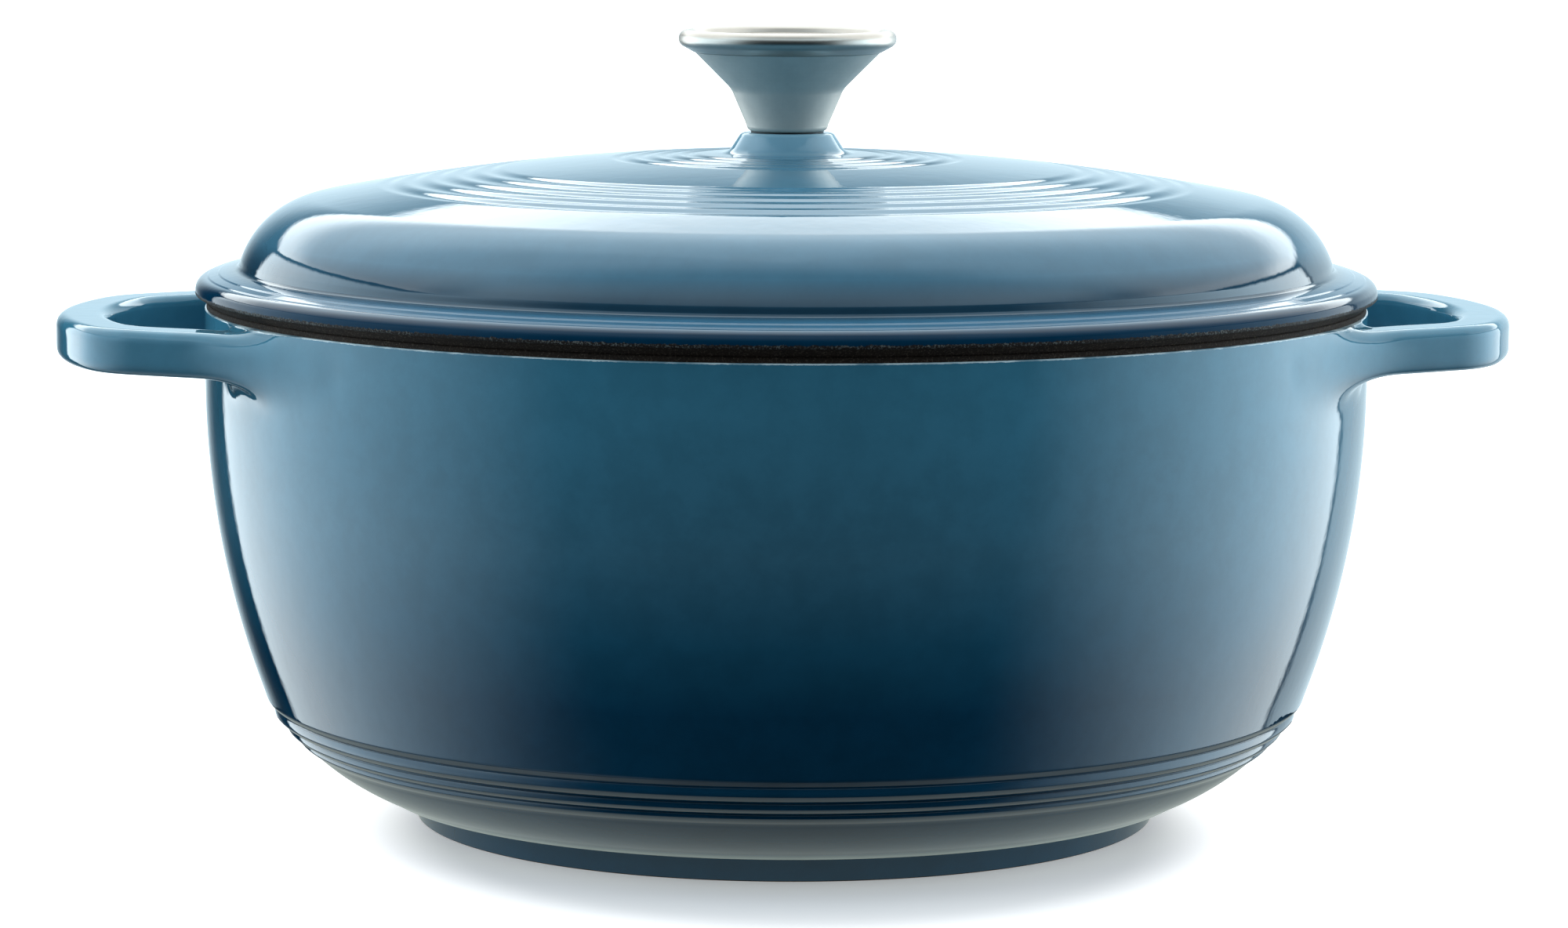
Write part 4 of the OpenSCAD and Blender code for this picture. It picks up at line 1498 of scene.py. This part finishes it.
def sheet_light(tree, x, y, z):
    """The overhead sheet, brighter in its rear, its far and its side parts."""
    above = maths(tree, "MAXIMUM", z, LEAST_SLOPE)
    u, v = maths(tree, "DIVIDE", x, above), maths(tree, "DIVIDE", y, above)
    shape = product(
        tree,
        edge_of(tree, u, SHEET["left"], 1),
        edge_of(tree, u, SHEET["right"], -1),
        edge_of(tree, v, SHEET["front"], 1),
        edge_of(tree, v, SHEET["rear"], -1),
        maths(tree, "GREATER_THAN", z, LEAST_SLOPE),
    )
    more = [
        product(tree, edge_of(tree, along, SHEET[part + "_part"], 1), SHEET[part + "_strength"])
        for part, along in (("rear", v), ("far", v), ("side", maths(tree, "ABSOLUTE", u)))
    ]
    return product(tree, shape, total(tree, SHEET["strength"], *more))


def bank_light(tree, x, y, z, bank, sign):
    """One bank, and how far along it a direction lies in its rear part."""
    reach = maths(tree, "MAXIMUM", maths(tree, "ABSOLUTE", x), LEAST_SLOPE)
    along, up = maths(tree, "DIVIDE", y, reach), maths(tree, "DIVIDE", z, reach)
    shape = product(
        tree,
        edge_of(tree, along, bank["front"], 1),
        edge_of(tree, along, bank["rear"], -1),
        edge_of(tree, up, bank["top"], -1),
        maths(tree, "GREATER_THAN", maths(tree, "MULTIPLY", x, sign), 0.0),
    )
    upper = product(tree, edge_of(tree, up, bank["upper_part"], 1), bank["upper_strength"])
    light = product(tree, shape, total(tree, bank["strength"], upper))
    return light, edge_of(tree, along, BANK_SPLIT, 1)


def fill_light(tree, azimuth, height, fill):
    middle, left, right, low, high, strength = fill
    away = maths(tree, "WRAP", maths(tree, "SUBTRACT", azimuth, middle), 180.0, -180.0)
    return product(
        tree,
        edge_of(tree, away, (-left[0], left[1]), 1),
        edge_of(tree, away, right, -1),
        edge_of(tree, height, low, 1),
        edge_of(tree, height, high, -1),
        strength,
    )


def studio_world(s):
    """A white room to the camera, and the sheet, the banks and the fills to all else."""
    world = bpy.data.worlds.new("studio")
    world.use_nodes = True
    tree = world.node_tree
    tree.nodes.clear()
    way = {"Vector": add(tree, "ShaderNodeTexCoord").outputs["Generated"], "Angle": s.turn}
    seen_from = add(tree, "ShaderNodeVectorRotate", way, rotation_type="Z_AXIS")
    x, y, z = add(tree, "ShaderNodeSeparateXYZ", {0: seen_from.outputs[0]}).outputs
    round_z = maths(tree, "ARCTAN2", x, maths(tree, "MULTIPLY", y, -1.0))
    azimuth = maths(tree, "MULTIPLY", round_z, 180 / math.pi)
    height = maths(tree, "MULTIPLY", maths(tree, "ARCSINE", z), 180 / math.pi)
    left, back = bank_light(tree, x, y, z, BANKS["left"], -1)
    right, _ = bank_light(tree, x, y, z, BANKS["right"], 1)
    banks = total(tree, left, right)
    rear_banks = product(tree, banks, back)

    def fills(group):
        return total(tree, *(fill_light(tree, azimuth, height, f) for f in group.values()))

    lights = [
        add(tree, "ShaderNodeVectorMath", {0: tuple(tint), "Scale": strength}, operation="SCALE")
        for tint, strength in (
            (s.cast, sheet_light(tree, x, y, z)),
            (s.bank_cast, maths(tree, "SUBTRACT", banks, rear_banks)),
            (s.bank_rear_cast, rear_banks),
            (s.fill_cast, fills(FILLS)),
            (s.rear_cast, fills(REAR_FILLS)),
        )
    ]
    light = lights[0].outputs[0]
    for more in lights[1:]:
        both = {0: light, 1: more.outputs[0]}
        light = add(tree, "ShaderNodeVectorMath", both, operation="ADD").outputs[0]
    camera = add(tree, "ShaderNodeLightPath").outputs["Is Camera Ray"]
    white = add(tree, "ShaderNodeBackground", {"Color": (1, 1, 1, 1), "Strength": 1.0})
    room = add(tree, "ShaderNodeBackground", {"Color": light, "Strength": 1.0})
    shown = {0: camera, 1: room.outputs[0], 2: white.outputs[0]}
    mixed = add(tree, "ShaderNodeMixShader", shown)
    add(tree, "ShaderNodeOutputWorld", {"Surface": mixed.outputs[0]})
    return world


def paper_floor(s):
    """White paper, which only the camera and the pot's shadow see."""

    def paper(tree):
        """White paper: the glow keeps its open parts white and the pot's shadow pale; it is weaker
        in an oval round the pot, which is a painted shadow.
        """
        tint = [PAPER_SHADE * min(s.cast) / part for part in s.cast]
        flat = add(tree, "ShaderNodeBsdfDiffuse", {"Color": (*tint, 1)})
        place = add(tree, "ShaderNodeTexCoord").outputs["Object"]
        moved = add(tree, "ShaderNodeVectorMath", {0: place, 1: (0, s.shade_shift, 0)})
        stretch = {0: moved.outputs[0], 1: PAPER_OVAL}
        oval = add(tree, "ShaderNodeVectorMath", stretch, operation="MULTIPLY")
        far = add(tree, "ShaderNodeVectorMath", {0: oval.outputs[0]}, operation="LENGTH")
        # Painted shadow: the glow is weaker in an oval round the pot, so the paper there is darker
        # than the open paper, on top of the pot's own shadow
        shade = between(
            tree, far.outputs["Value"], s.shade_r, s.open_r, s.paper_glow, 1.0
        )
        glow = add(tree, "ShaderNodeEmission", {"Strength": shade})
        return add(tree, "ShaderNodeAddShader", {0: flat.outputs[0], 1: glow.outputs[0]})

    half = s.floor / 2
    corners = [(-half, -half, 0), (half, -half, 0), (half, half, 0), (-half, half, 0)]
    mesh = bpy.data.meshes.new("floor")
    mesh.from_pydata(corners, [], [range(4)])
    floor = new_object("studio_floor", mesh)
    mesh.materials.append(material("white_paper", paper))
    floor.visible_diffuse = floor.visible_glossy = floor.visible_transmission = False


def bounce_card(s):
    """The paper under and round the pot, as its enamel reflects it; the camera can't see it."""

    def lit_paper(tree):
        """Paper lit from above, with a soft edge."""
        soft, edge = s.bounce_soft / MM, s.bounce_r / MM
        strength = between(tree, place_of(tree)[2], edge - soft, edge + soft, s.bounce, 0.0)
        lit = {"Color": (*BOUNCE_TINT, 1), "Strength": strength}
        return add(tree, "ShaderNodeEmission", lit)

    reach = s.bounce_r + s.bounce_soft
    turns = [i * 2 * math.pi / BOUNCE_CORNERS for i in range(BOUNCE_CORNERS)]
    places = [(reach * math.cos(a), reach * math.sin(a), -MM) for a in turns]
    mesh = bpy.data.meshes.new("bounce")
    mesh.from_pydata(places, [], [range(len(places))])
    mesh.materials.append(material("lit_paper", lit_paper))
    card = new_object("studio_bounce", mesh)
    card.location = (s.bounce_shift * math.sin(s.turn), s.bounce_shift * math.cos(s.turn), 0)
    card.visible_camera = card.visible_shadow = False


def studio_camera(s):
    lens = bpy.data.cameras.new("camera")
    lens.lens, lens.sensor_width, lens.sensor_fit = s.lens, SENSOR_WIDTH, "HORIZONTAL"
    lens.shift_x = s.shift
    lens.clip_end = CLIP_END
    camera = new_object("camera", lens)
    tilt, roll = s.tilt, s.roll
    right = Vector((1, 0, 0))
    up = Vector((0, math.sin(tilt), math.cos(tilt)))
    back = Vector((0, -math.cos(tilt), math.sin(tilt)))
    across = right * math.cos(roll) + up * math.sin(roll)
    over = up * math.cos(roll) - right * math.sin(roll)
    aim = Matrix((across, over, back)).transposed().to_4x4()
    stand = Matrix.Translation((0, -s.distance, s.height)) @ aim
    camera.matrix_world = Matrix.Rotation(-s.turn, 4, "Z") @ stand
    return camera


class OVEN_OT_studio(bpy.types.Operator):
    """White floor, softboxes and the camera"""

    bl_idname = "oven.studio"
    bl_label = "Studio"

    def execute(self, context):
        scene, s = context.scene, context.scene.oven_studio
        paper_floor(s)
        bounce_card(s)
        scene.world = studio_world(s)
        scene.camera = studio_camera(s)
        scene.view_settings.view_transform = "Standard"
        return {"FINISHED"}


OPERATORS = (
    OVEN_OT_pot_outside,
    OVEN_OT_pot_inside,
    OVEN_OT_iron,
    OVEN_OT_lid_coats,
    OVEN_OT_knob,
    OVEN_OT_metalwork,
    OVEN_OT_studio,
)


class OVEN_PT_panel(bpy.types.Panel):
    """Sizes, finishes and the steps that make the dutch oven"""

    bl_idname = "OVEN_PT_panel"
    bl_label = "Dutch Oven"
    bl_space_type = "VIEW_3D"
    bl_region_type = "UI"
    bl_category = "Dutch Oven"

    def draw(self, context):
        for step in OPERATORS:
            self.layout.operator(step.bl_idname)
        for name in GROUPS:
            box = self.layout.box()
            group = getattr(context.scene, name)
            for prop in settings(group):
                box.prop(group, prop.identifier)


CLASSES = (*GROUPS.values(), *OPERATORS, OVEN_PT_panel)


def register():
    for made in CLASSES:
        bpy.utils.register_class(made)
    for name, group in GROUPS.items():
        setattr(bpy.types.Scene, name, PointerProperty(type=group))


def unregister():
    for name in GROUPS:
        delattr(bpy.types.Scene, name)
    for made in reversed(CLASSES):
        bpy.utils.unregister_class(made)


def main():
    register()
    for made in OPERATORS:
        family, step = made.bl_idname.split(".")
        getattr(getattr(bpy.ops, family), step)()


if __name__ == "__main__":
    main()
